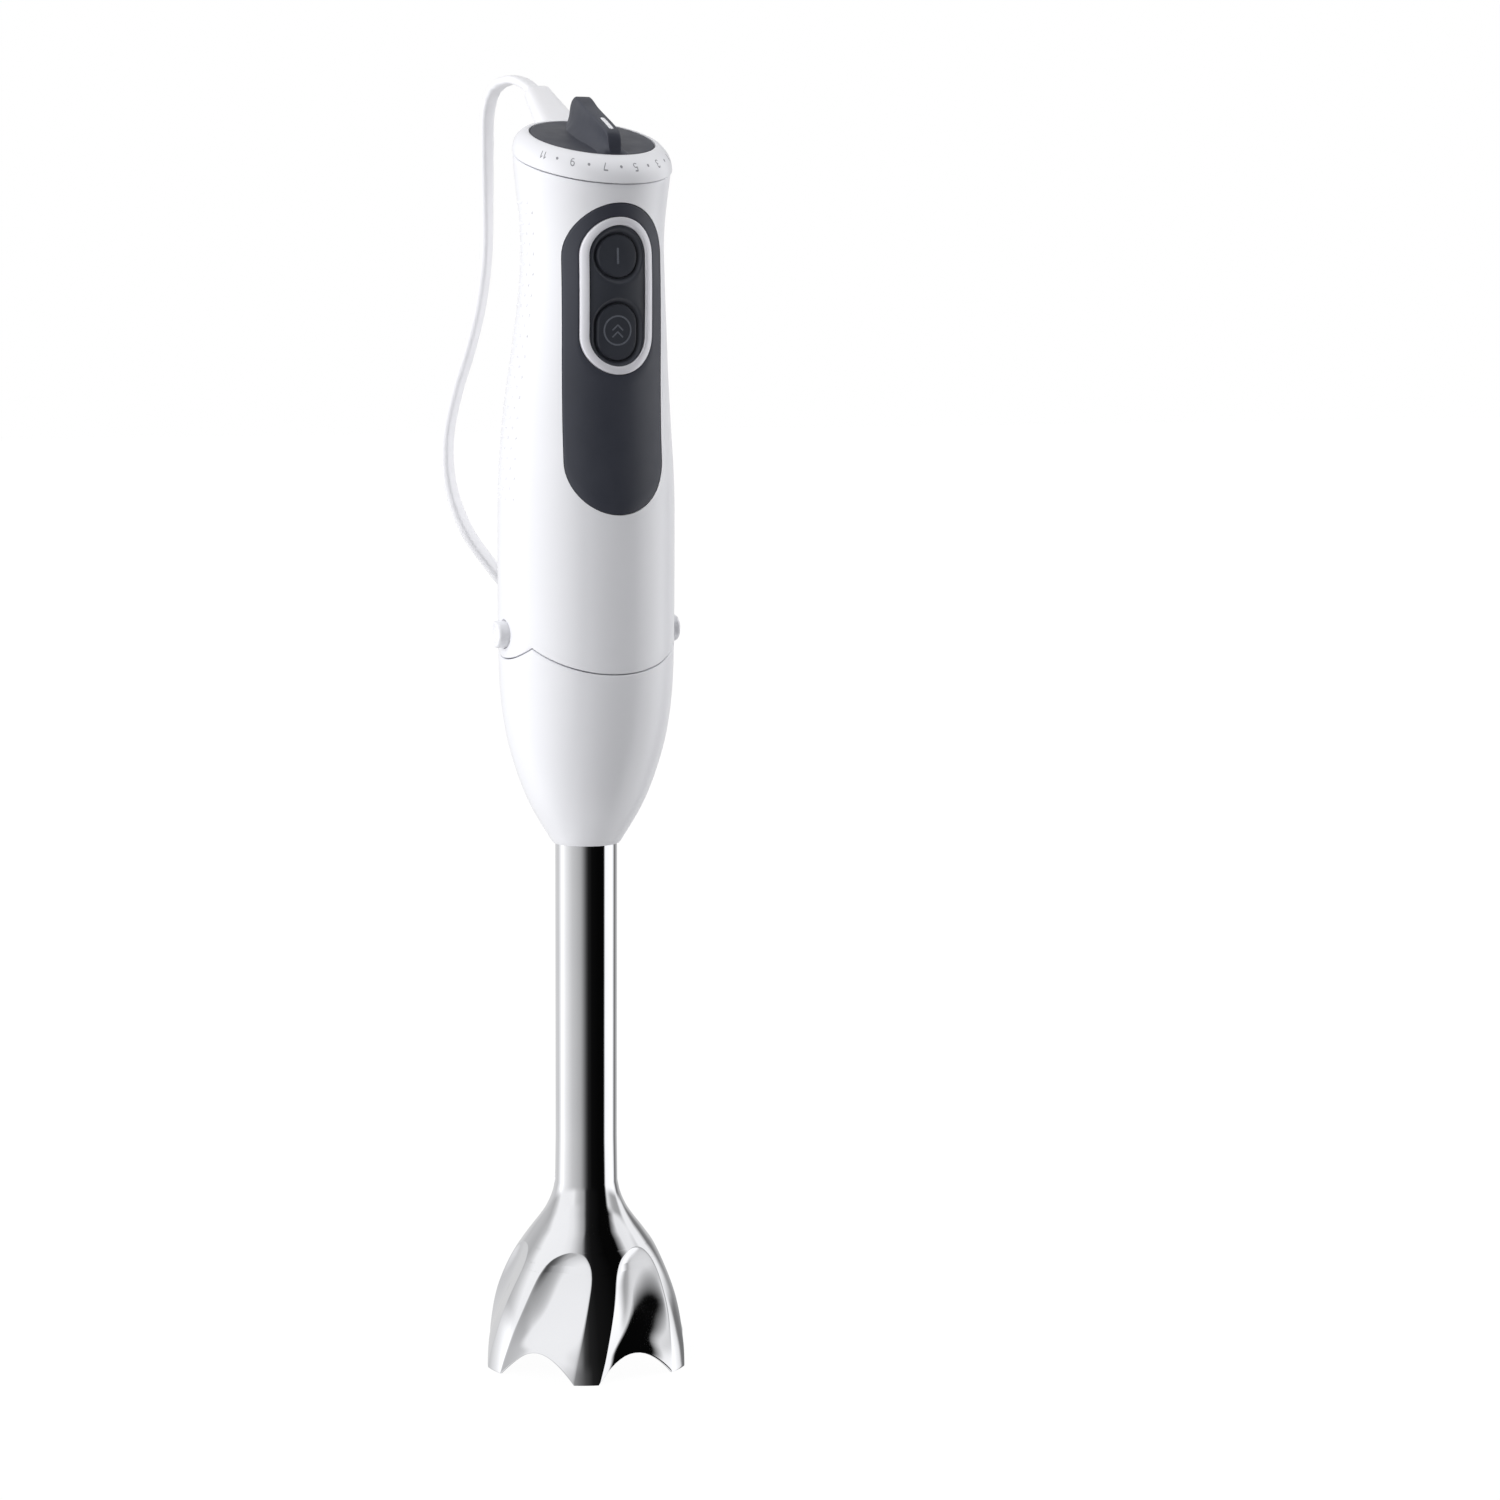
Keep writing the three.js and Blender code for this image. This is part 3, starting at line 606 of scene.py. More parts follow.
def swept(line, sides, sections):
    """Rings of a section along a line; sides give the direction of its width."""
    rings = []
    for i, p in enumerate(line):
        tangent = (line[min(i + 1, len(line) - 1)] - line[max(i - 1, 0)]).normalized()
        width = (sides[i] - tangent * sides[i].dot(tangent)).normalized()
        height = tangent.cross(width)
        rings.append([p + width * u + height * v for u, v in sections[i]])
    return rings


section = flat_section(CORD_WIDE, CORD_THIN)
cord_rings = swept(cord_line, [cord_side(i) for i in range(len(cord_line))], [section] * len(cord_line))
cord_rings = [[behind(p) for p in ring] for ring in cord_rings]
cord = piece(
    "mains_cord_flat", capped(cord_rings), "cord_plastic", "motor_unit",
    ("mains_cord", "cord_hank", "plug_lead"), 50,
)


RELIEF_START = (-1.4, 11.5, 371.4)
# Width and thickness inside the cap, where it leaves the cap and where the cord comes out. That end
# is rolled over: (how far beyond it, width and thickness).
RELIEF_BURIED = (15.6, 9.4)
RELIEF_TOP = (15.2, 9.2)
RELIEF_END = (8.2, 5.6)
RELIEF_ROLL = [(0.35, (7.9, 5.3)), (0.6, (7.0, 4.4))]


def relief_part():
    """Flat tapered sleeve from the back of the cap to the cord, with a rolled end."""
    start, end = Vector(RELIEF_START), behind(CORD_ROUTE[0])
    along = (end - start).normalized()
    line, sizes = [start - along * 2], [RELIEF_BURIED]
    steps = 22
    for k in range(steps + 1):
        line.append(start.lerp(end, k / steps))
        taper = (k / steps) ** 0.85
        sizes.append([mix(a, b, taper) for a, b in zip(RELIEF_TOP, RELIEF_END)])
    for beyond, size in RELIEF_ROLL:
        line.append(end + along * beyond)
        sizes.append(size)
    sections = [flat_section(w, h, 5) for w, h in sizes]
    side = behind(RELIEF_SIDE)
    return capped(swept(line, [side] * len(line), sections))


relief = piece("cord_relief", relief_part(), "cord_plastic", "motor_unit", ("cord_strain_relief",), 45)

PLUG_MIDDLE = 19.15
PIN_SPACING = 18.6


def plug_part():
    """Flat two-pin plug: a wide front that sweeps in to a ribbed neck."""
    sizes = [
        (60, 12.6, 5.6), (60.4, 13.2, 6.3), (61.4, 13.6, 6.75), (64, 15.8, 6.8), (67, 16.8, 6.85),
        (71, 16.9, 6.85), (75, 16.0, 6.8), (80, 13.2, 6.4), (85, 9.6, 5.9), (88.4, 7.4, 5.4),
    ]
    for i in range(4):
        at = 89.2 + i * 1.3
        slim = 0.5 * i
        sizes += [(at, 5.9 - slim, 4.7 - slim * 0.7), (at + 0.2, 5.4 - slim, 4.3 - slim * 0.7)]
        sizes += [(at + 0.55, 5.4 - slim, 4.3 - slim * 0.7), (at + 0.75, 5.9 - slim, 4.7 - slim * 0.7)]
    curves = []
    for back, half, thick in sizes:
        corners = [(-half, -thick), (half, -thick), (half, thick), (-half, thick)]
        outline = rounded(corners, min(half, thick) * 0.8, 6)
        curves.append([behind((x, back, PLUG_MIDDLE + z)) for x, z in outline])
    return capped(curves)


plug = piece("plug_shell", plug_part(), "cord_plastic", "motor_unit", ("plug_body",), 30)


def pin_part(side, sleeve):
    """A round pin: a bare end with a domed tip, or the plastic sleeve near the body."""
    if sleeve:
        profile = [(0, 61), (2.0, 61), (2.0, 52.2), (1.85, 52), (0, 52)]
    else:
        profile = [(0, 56), (1.9, 56), (1.95, 45), (1.9, 43), (1.6, 41.8), (1.0, 41.1), (0, 40.8)]
    x, z = side * PIN_SPACING / 2, PLUG_MIDDLE
    return capped([ring_of(r, 24, lambda u, v: behind((x + u, back, z + v))) for r, back in profile])


for side, word in ((-1, "left"), (1, "right")):
    piece(f"pin_{word}", pin_part(side, False), "brass", "motor_unit", (f"plug_pin_{word}",))
    piece(f"pin_sleeve_{word}", pin_part(side, True), "black_rubber", "motor_unit")


def tie_part():
    """A soft band round the waist of the hank."""
    outer = rounded([(-16.6, 0.15), (16.6, 0.15), (16.6, 11.9), (-16.6, 11.9)], 2.2, 5)
    inner = rounded([(-16.1, 0.55), (16.1, 0.55), (16.1, 11.4), (-16.1, 11.4)], 1.9, 5)
    curves = []
    for line, back in ((outer, 72), (outer, 78), (inner, 78), (inner, 72)):
        curves.append([behind((x, back, z)) for x, z in line])
    return loft(curves, along=True)


tie = piece("hank_tie", tie_part(), "black_rubber", "motor_unit")

tuple(behind(CORD_ROUTE[0]) * MM)
[behind(p) * MM for p in cord_line]

# ---------------- steel shaft

LEGS = 6
FIRST_LEG = -22.5
GUARD_OUTLINE = [
    (0, 32.8), (5, 32.1), (10.2, 31), (15.4, 29.75), (20.4, 28.2), (24.2, 26.7), (28, 25), (32, 22.95),
    (35.7, 20.7), (40.7, 17.1), (43.8, 14.7), (46.8, 12.65), (49.5, 11.3), (52, 10.35), (55.5, 9.6),
    (59.4, 9.4),
]
GUARD_WALL = 1.1
TUBE_BORE = 8.5
TUBE_TOP = 181.7
FLUTE_TOP = 37.5
FLUTE_DEPTH = [(0, 3.4), (20, 3.2), (FLUTE_TOP, 2.5)]
FLUTE_DEEPEST = 0.4
ARCH_HEIGHT = 8
ARCH_REACH = 22
FLUTE_MIDDLE = [(0, 30), (13, 35.4), (26.5, 41.5), (35, 46), (FLUTE_TOP, 48.5), (60, 48.5)]
FLUTE_HALF = [(0, 23.4), (13, 22.4), (27, 21.4), (60, 21.4)]
FLUTE_ROUND_FROM = 23
FLUTE_ROUNDING = 4.4
FLUTE_NARROWEST = 0.16
# Above the hollows their columns spread to this half angle over this height.
EVEN_HALF = 22
EVEN_OVER = 14
LEG_COLUMNS = [0, 0.015, 0.05, 0.15, 0.3, 0.5, 0.7, 0.85, 0.95, 0.985]
FLUTE_COLUMNS = [
    0, 0.008, 0.02, 0.04, 0.07, 0.11, 0.16, 0.22, 0.29, 0.36, 0.43,
    0.5, 0.57, 0.64, 0.71, 0.78, 0.84, 0.89, 0.93, 0.96, 0.98, 0.992,
]
EDGE_ROUND = 0.035


def flute_edges(z):
    """Angles of the two edges of a hollow, in degrees from its leg's middle."""
    middle = smooth_at(FLUTE_MIDDLE, z)
    half = smooth_at(FLUTE_HALF, z)
    if z > FLUTE_ROUND_FROM:
        t = min(1, (z - FLUTE_ROUND_FROM) / (FLUTE_TOP - FLUTE_ROUND_FROM))
        half *= max(math.sqrt(1 - t**FLUTE_ROUNDING), FLUTE_NARROWEST)
    if z > FLUTE_TOP:
        half = mix(half, EVEN_HALF, smoothstep(z, FLUTE_TOP, FLUTE_TOP + EVEN_OVER))
    return middle - half, middle + half


def guard_columns(z):
    """(degrees from the front, place across a hollow or None on a leg) round the guard."""
    out = []
    start, end = flute_edges(z)
    for leg in range(LEGS):
        base = FIRST_LEG + leg * 360 / LEGS
        before = end - 360 / LEGS
        out += [(base + mix(before, start, t), None) for t in LEG_COLUMNS]
        out += [(base + mix(start, end, t), t) for t in FLUTE_COLUMNS]
    return out


def guard_ring(z, depth):
    """A ring of the guard or the tube at a height, so deep under the outer surface."""
    ring = []
    radius = smooth_at(GUARD_OUTLINE, z)
    for degrees, across in guard_columns(z):
        r = radius
        if across is not None and z < FLUTE_TOP:
            t = max(0, z - FLUTE_ROUND_FROM) / (FLUTE_TOP - FLUTE_ROUND_FROM)
            half = FLUTE_DEEPEST if across < FLUTE_DEEPEST else 1 - FLUTE_DEEPEST
            bowl = (1 - ((across - FLUTE_DEEPEST) / half) ** 2) * (1 - t**FLUTE_ROUNDING)
            bowl = math.sqrt(bowl**2 + EDGE_ROUND**2) - EDGE_ROUND
            r -= smooth_at(FLUTE_DEPTH, z) * bowl
        r = max(r - depth, TUBE_BORE)
        arch = 0 if across is None else 1 - (2 * across - 1) ** 2
        lift = ARCH_HEIGHT * arch * max(0, 1 - z / ARCH_REACH) ** 1.5
        a = math.radians(degrees)
        ring.append((r * math.sin(a), -r * math.cos(a), z + lift))
    return ring


def shaft_part():
    """Guard and tube in one skin: the outside from the rim up, then the inside back down."""
    heights = [0.25, 0.6, 1.2]
    heights += [2 + k * 1.5 for k in range(22)]
    heights += [FLUTE_TOP - d for d in (6.2, 5, 3.9, 2.9, 2.1, 1.4, 0.85, 0.45, 0.18, 0.03)]
    heights += [FLUTE_TOP + d for d in (0.06, 0.5, 1.2, 2, 3, 4, 5, 6, 7, 8, 9, 10, 11.5, 13, 15, 18.2)]
    heights += [70, 100, 140, 160, TUBE_TOP]
    curves = [guard_ring(0, 0.22), guard_ring(0.04, 0.07)]
    curves += [guard_ring(z, 0) for z in heights]
    inner = [z for z in heights if z > 1 and (z < FLUTE_TOP - 1 or z > FLUTE_TOP + 1)]
    curves += [guard_ring(z, GUARD_WALL) for z in reversed(inner)]
    rim = [(0.3, 0), (0.04, 0.07), (0, 0.22)]
    curves += [guard_ring(z, GUARD_WALL - less) for z, less in rim]
    return loft(curves, along=True)


piece("steel_shaft", shaft_part(), "steel", "shaft", ("blade_guard", "shaft_tube"), 50)

# ---------------- collar

COLLAR_BOTTOM = 160.9
COLLAR_OUTLINE = [
    (160.9, 10.35), (163.4, 11.75), (166.2, 13.5), (170.9, 16.2), (175.5, 18.4), (180.1, 20.2),
    (184.7, 21.75), (189.3, 23.1), (195, 24.4), (203, 25.6), (212.2, 26.3), (226, 26.6),
]
SPIGOT_RADIUS = 20
SPIGOT_BOTTOM = 208
SPIGOT_TOP = 224
WELL_RADIUS = 17.6
WELL_FLOOR = 192
WELL_HOLE = 7.3
SEAM_FRONT = 214.6
SEAM_POINT = 222
SEAM_SIDE = 218
SEAM_POINT_ANGLE = 60
ROUND = 192


def seam_at(angle):
    """Height of the seam over the collar: low in front and behind, with a peak on either side."""
    degrees = abs(math.degrees(angle)) % 180
    from_middle = min(degrees, 180 - degrees)
    if from_middle < SEAM_POINT_ANGLE:
        return SEAM_FRONT + (SEAM_POINT - SEAM_FRONT) * (from_middle / SEAM_POINT_ANGLE) ** 2
    to_side = (90 - from_middle) / (90 - SEAM_POINT_ANGLE)
    return SEAM_SIDE + (SEAM_POINT - SEAM_SIDE) * to_side**2


def round_angles(count=ROUND):
    return full_turn(count, -math.pi)


def collar_part():
    """Outer skin from the tube up to the seam, then the inner walls."""
    columns = []
    for a in round_angles():
        top = seam_at(a) - GAP / 2
        line = [(9.75, COLLAR_BOTTOM), (10.1, COLLAR_BOTTOM + 0.02), (10.42, COLLAR_BOTTOM + 0.35)]
        for k in range(1, 40):
            z = mix(COLLAR_BOTTOM + 0.35, top - 0.5, k / 40)
            line.append((smooth_at(COLLAR_OUTLINE, z), z))
        r = smooth_at(COLLAR_OUTLINE, top)
        line += [(r, top - 0.42), (r - 0.06, top - 0.18), (r - 0.2, top - 0.04), (r - 0.42, top)]
        line += [(SPIGOT_RADIUS, top), (WELL_RADIUS, top), (WELL_RADIUS, WELL_FLOOR + 1)]
        line += [(WELL_RADIUS - 1, WELL_FLOOR), (WELL_HOLE, WELL_FLOOR), (WELL_HOLE, TUBE_TOP + GAP)]
        line += [(9.75, TUBE_TOP + GAP)]
        columns.append([(r * math.sin(a), -r * math.cos(a), z) for r, z in line])
    skin = loft(columns, along=True)
    profile = [
        (SPIGOT_RADIUS, SPIGOT_BOTTOM), (SPIGOT_RADIUS, SPIGOT_TOP - 0.8), (SPIGOT_RADIUS - 0.8, SPIGOT_TOP),
        (WELL_RADIUS + 0.4, SPIGOT_TOP), (WELL_RADIUS, SPIGOT_TOP - 0.4),
        (WELL_RADIUS, SPIGOT_BOTTOM),
    ]
    return joined([skin, turned(profile)])


piece("collar", collar_part(), "white_plastic", "shaft", ("shaft_collar",), 40)

# ---------------- grip

GRIP_OUTLINE = [
    (205, 25.8), (212.2, 26.3), (226, 26.6), (262, 26.6), (271, 26.4), (283, 25.7), (295, 24.7),
    (307, 23.5), (317, 22.6), (327, 21.8), (339, 21.3), (348, 21.6), (356, 22.5), (364, 23.4),
    (372, 23.55), (382, 23.5),
]
GRIP_WALL = 2.3
LEAN = -4.7
TILT = math.radians(17)
CAP_SEAM_HEIGHT = 365.3
CAP_TOP_HEIGHT = 372.3
PANEL = (31.6, 261.8, 353)
RING = (23.2, 302.9, 349)
MEMBRANE = (17.9, 305.4, 346.5)
POWER = (13, 331, 344)
TURBO = (13, 306.9, 323.9)
RELEASE_HEIGHT = 225.3
RELEASE_RADIUS = 4.1


def lean_at(z):
    """Shift of the grip's middle along Y."""
    return LEAN * smoothstep(z, 282, 335)


def grip_point(angle, z, depth=0):
    """A point on the grip's side, or so deep under it."""
    r = smooth_at(GRIP_OUTLINE, z) - depth
    return r * math.sin(angle), lean_at(z) - r * math.cos(angle), z


def front_point(x, z, depth=0):
    """The point on the grip's front at (x, z), or so deep under it."""
    r = smooth_at(GRIP_OUTLINE, z) - depth
    return x, lean_at(z) - math.sqrt(max(0, r * r - x * x)), z


def grip_top(angle, shift):
    """Height at which the grip meets a plane parallel to the dial."""
    z = CAP_SEAM_HEIGHT
    for _ in range(4):
        r = smooth_at(GRIP_OUTLINE, z)
        z = CAP_SEAM_HEIGHT + shift / math.cos(TILT) - r * math.cos(angle) * math.tan(TILT)
    return z


def stadium(size, inset=0.0, arc=32, side=24):
    """Outline with round ends, as (x, z), starting at the right of the upper end."""
    width, low, high = size
    r = width / 2
    half = r - inset
    line = []
    for start, centre, other in ((0, high - r, low + r), (math.pi, low + r, high - r)):
        for k in range(arc):
            a = start + math.pi * k / arc
            line.append((half * math.cos(a), centre + half * math.sin(a)))
        x = half * math.cos(start + math.pi)
        line += [(x, mix(centre, other, k / side)) for k in range(side)]
    return line


def prism(outline, front, back):
    """An outline in X and Z, pushed along Y."""
    return capped([[(x, y, z) for x, z in outline] for y in (front, back)])


def bar_along_x(radius, reach, height):
    return capped([ring_of(radius, 64, lambda u, v: (x, u, height + v)) for x in (-reach, reach)])


def grip_part():
    """The grip's shell: the outside from the seam up to the cap, then the inside back down."""
    lip = [(0.0, 0.5), (0.04, 0.24), (0.18, 0.06), (0.42, 0.0)]
    lip_height = lip[-1][0]
    angles = round_angles()
    ends = [(seam_at(a) + GAP / 2, grip_top(a, -GAP / 2)) for a in angles]
    curves = []
    for up, depth in lip:
        curves.append([grip_point(a, low + up, depth) for a, (low, _) in zip(angles, ends)])
    rows = 110
    for k in range(1, rows):
        curve = []
        for a, (low, high) in zip(angles, ends):
            curve.append(grip_point(a, mix(low + lip_height, high - lip_height, k / rows)))
        curves.append(curve)
    for down, depth in reversed(lip):
        curves.append([grip_point(a, high - down, depth) for a, (_, high) in zip(angles, ends)])
    inner_rows = 24
    for k in range(inner_rows + 1):
        curve = []
        for a, (low, high) in zip(angles, ends):
            curve.append(grip_point(a, mix(high, low, k / inner_rows), GRIP_WALL))
        curves.append(curve)
    return loft(curves, along=True)


grip = object_of("grip", grip_part())
cut_away(
    grip,
    prism(stadium(PANEL), -40, -8),
    bar_along_x(RELEASE_RADIUS + GAP, 40, RELEASE_HEIGHT),
)
finished(grip, "white_plastic", "motor_unit", ("grip_shell",))


def grip_dots():
    """Small round dots that the palm feels, in staggered columns round the back."""
    dome = [(0.0, 0.22), (0.22, 0.2), (0.42, 0.12), (0.55, 0.0), (0.58, -0.25)]
    lowest, highest, pitch = 266, 353, 6
    parts = []
    for column in range(-20, 21):
        angle = math.pi + math.radians(column * 5.15)
        first = lowest + (pitch // 2 if column % 2 else 0)
        for z in range(first, highest + 1, pitch):
            centre = Vector(grip_point(angle, z))
            above = Vector(grip_point(angle, z + 1))
            right = Vector((math.cos(angle), math.sin(angle), 0))
            up = (above - centre).normalized()
            out = right.cross(up).normalized()
            curves = []
            for r, lift in dome:
                middle = centre + out * lift
                curves.append(ring_of(r, 12, lambda u, v: middle + right * u + up * v))
            parts.append(capped(curves))
    return joined(parts)


piece("grip_dots", grip_dots(), "white_plastic", "motor_unit", sharp=60)

# ---------------- control panel


def front_ring(outline, depth):
    return [front_point(x, z, depth) for x, z in outline]


def blended(a, b, t):
    return [(mix(xa, xb, t), mix(za, zb, t)) for (xa, za), (xb, zb) in zip(a, b)]


def frame_part(outer, inner, steps, proud=0.0, edge=0.3, crown=0.0, back=2.0):
    """A plate between two outlines that follows the front of the grip."""
    curves = [front_ring(stadium(outer, GAP / 2), back)]
    for inset, depth in ((0, edge), (0.25 * edge, 0.3 * edge), (edge, 0)):
        curves.append(front_ring(stadium(outer, GAP / 2 + inset), depth - proud))
    start, end = stadium(outer, GAP / 2 + edge), stadium(inner, -edge)
    for k in range(1, steps):
        t = k / steps
        curves.append(front_ring(blended(start, end, t), -proud - crown * 4 * t * (1 - t)))
    for inset, depth in ((-edge, 0), (-0.25 * edge, 0.3 * edge), (0, edge)):
        curves.append(front_ring(stadium(inner, inset), depth - proud))
    curves.append(front_ring(stadium(inner), back))
    return loft(curves, along=True)


piece("panel_plate", frame_part(PANEL, RING, 12), "dark_plastic", "motor_unit", ("control_panel",))
piece(
    "panel_frame", frame_part(RING, MEMBRANE, 6, proud=0.3, edge=0.35, crown=0.1), "silver_plastic",
    "motor_unit", ("panel_ring",),
)

BUTTON_RIM = 1.25
BUTTON_GAP = 0.12
BUTTON_BACK = 4.2
BUTTON_DISH = 0.55
WELL_SLOPE = 1.6
MEMBRANE_TOP = 0.55
MEMBRANE_BACK = 3.4
MEMBRANE_SPLIT = 327.6


def from_spine(size, x, z):
    """Nearest level on the middle line of a stadium, and how far (x, z) is from there."""
    width, low, high = size
    level = max(low + width / 2, min(high - width / 2, z))
    return level, math.hypot(x, z - level)


def near_outline(outline, size, grow):
    """The points of a stadium nearest in angle to those of an outline round it."""
    reach = size[0] / 2 + grow
    out = []
    for x, z in outline:
        level, far = from_spine(size, x, z)
        out.append((x / far * reach, level + (z - level) / far * reach))
    return out


def half_membrane(upper, split):
    """Outline of the membrane above or below a level, closed along that level."""
    width, low, high = MEMBRANE
    half = width / 2 - GAP / 2
    line = []
    arc, side, cross = 48, 12, 24
    sign = 1 if upper else -1
    centre = high - width / 2 if upper else low + width / 2
    for k in range(arc + 1):
        a = math.pi * k / arc
        line.append((half * math.cos(a), centre + sign * half * math.sin(a)))
    for k in range(1, side):
        line.append((-half, mix(centre, split, k / side)))
    for k in range(cross + 1):
        line.append((mix(-half, half, k / cross), split))
    for k in range(1, side):
        line.append((half, mix(split, centre, k / side)))
    return line


def surround_part():
    """Soft surface between the frame and the buttons, sinking into a well round each button."""
    parts = []
    for upper, size in ((True, POWER), (False, TURBO)):
        outer = half_membrane(upper, MEMBRANE_SPLIT)
        rim = near_outline(outer, size, WELL_SLOPE)
        curves = []
        for t in (0, 0.25, 0.5, 0.75):
            curves.append(front_ring(blended(outer, rim, t), MEMBRANE_TOP))
        for t in (0, 0.15, 0.32, 0.5, 0.68, 0.85, 1.0):
            line = near_outline(outer, size, mix(WELL_SLOPE, 0.02, t))
            sink = (BUTTON_RIM + 0.35) * smoothstep(t, 0, 1)
            curves.append(front_ring(line, MEMBRANE_TOP + sink))
        curves.append(front_ring(near_outline(outer, size, 0.02), MEMBRANE_BACK))
        curves.append(front_ring(outer, MEMBRANE_BACK))
        parts.append(loft(curves))
    return joined(parts)


def membrane_part():
    """The surround with a wall behind the edge of each half."""
    parts = [surround_part()]
    for upper in (True, False):
        line = half_membrane(upper, MEMBRANE_SPLIT)
        line = [p for p in line if abs(p[1] - MEMBRANE_SPLIT) > 1e-6]
        n = len(line)
        faces = [(i, i + 1, n + i + 1, n + i) for i in range(n - 1)]
        parts.append((front_ring(line, MEMBRANE_TOP) + front_ring(line, MEMBRANE_BACK), faces))
    return joined(parts)


def button_depth(x, z, size):
    """How deep the dished face of a button lies under the grip's surface."""
    _, far = from_spine(size, x, z)
    share = min(1, far / (size[0] / 2))
    return BUTTON_RIM + BUTTON_DISH * (1 - share**2)


def button_part(size):
    """A dished button with a rounded rim, closed at the back."""
    curves = [front_ring(stadium(size, BUTTON_GAP), BUTTON_BACK)]
    for inset, under in ((0, 0.9), (0.12, 0.4), (0.35, 0.12)):
        curves.append(front_ring(stadium(size, BUTTON_GAP + inset), BUTTON_RIM + under))
    rings = 12
    for k in range(rings):
        line = stadium(size, mix(BUTTON_GAP + 0.75, size[0] / 2 - TINY, k / (rings - 1)))
        curves.append([front_point(x, z, button_depth(x, z, size)) for x, z in line])
    verts, faces = loft(curves)
    return verts, faces + [tuple(range(len(curves[0])))]


# How far a printed line is raised, and how far it reaches under the surface.
INK = 0.1


def ribbon(line, width, place, closed=False):
    """A thin raised line along 2-D points; place turns (x, z, lift) into the part's frame."""
    points = [Vector(p) for p in line]
    count = len(points)
    curves = []
    for i, p in enumerate(points):
        before = points[(i - 1) % count] if closed or i else p
        after = points[(i + 1) % count] if closed or i < count - 1 else p
        ahead = (after - before).normalized()
        side = Vector((-ahead.y, ahead.x)) * width / 2
        left, right = p + side, p - side
        corners = [(left, -INK), (right, -INK), (right, INK), (left, INK)]
        curves.append([place(*corner, lift) for corner, lift in corners])
    return loft(curves, along=True) if closed else capped(curves)


def circle(x, z, radius, count=64):
    return ring_of(radius, count, lambda u, v: (x + u, z + v))


def densified(line, step):
    """A line with points added about a step apart."""
    out = []
    for a, b in zip(line, line[1:]):
        count = max(1, round(math.dist(a, b) / step))
        out += [(mix(a[0], b[0], k / count), mix(a[1], b[1], k / count)) for k in range(count)]
    return [*out, line[-1]]


def on_button(size):
    return lambda x, z, lift: front_point(x, z, button_depth(x, z, size) - lift * 0.8)


def inked(name, part, ink, slot, body):
    obj = piece(name, part, slot, body)
    obj.data.materials.clear()
    obj.data.materials.append(ink)
    return obj


membrane = object_of("membrane", membrane_part(), 40)
finished(membrane, "soft_plastic", "motor_unit", ("button_surround",))
piece("button_power", button_part(POWER), "soft_plastic", "power_button", ("power_button",), 45)
piece("button_turbo", button_part(TURBO), "soft_plastic", "turbo_button", ("turbo_button",), 45)

POWER_MARK = [(0, 335.2), (0, 339.9)]
TURBO_MARK = (0, 315.9)
CHEVRON = [(-1.7, 0), (0, 1.6), (1.7, 0)]
CHEVRON_HEIGHTS = (313.9, 315.9)

power_bar = ribbon(densified(POWER_MARK, 0.5), 0.7, on_button(POWER))
inked("power_mark", power_bar, BUTTON_INK, "soft_plastic", "power_button")
turbo_marks = [ribbon(circle(*TURBO_MARK, 4.2), 0.5, on_button(TURBO), closed=True)]
for height in CHEVRON_HEIGHTS:
    chevron = densified([(x, height + up) for x, up in CHEVRON], 0.4)
    turbo_marks.append(ribbon(chevron, 0.45, on_button(TURBO)))
inked("turbo_mark", joined(turbo_marks), BUTTON_INK, "soft_plastic", "turbo_button")

# ---------------- cap and dial

CAP_RADIUS = 23.7
DIAL_RADIUS = 18.6
DIAL_THICK = 3
DIAL_GAP = 0.15
CAP_HOLE = 2.9
CAP_INSIDE = 20.2
CAP_CEILING = -4.7
TO_CAP = Matrix.Translation((0, LEAN, CAP_TOP_HEIGHT)) @ Matrix.Rotation(TILT, 4, "X")
# From the side of the cap to the edge of the dial: (share of the way, height under the top).
SHOULDER = [
    (0, -6.2), (0.015, -5.2), (0.06, -4.1), (0.14, -3.1), (0.27, -2.15), (0.42, -1.35), (0.6, -0.62),
    (0.78, -0.15), (0.93, 0.0), (0.985, -0.08), (1.0, -0.3),
]
SHOULDER_ROWS = [
    0, 0.007, 0.02, 0.04, 0.07, 0.11, 0.16, 0.22, 0.28, 0.36, 0.44, 0.53, 0.62, 0.71, 0.8, 0.88, 0.93,
    0.96, 0.985, 1.0,
]


def cap_side(angle, height):
    """A point of the cap's upright side, in the tilted frame."""
    y = (-CAP_RADIUS * math.cos(angle) + height * math.sin(TILT)) / math.cos(TILT)
    return CAP_RADIUS * math.sin(angle), y, height


def shoulder_point(angle, share):
    height = smooth_at(SHOULDER, share)
    x, y, _ = cap_side(angle, height)
    rim = DIAL_RADIUS + DIAL_GAP
    return mix(x, rim * math.sin(angle), share), mix(y, -rim * math.cos(angle), share), height


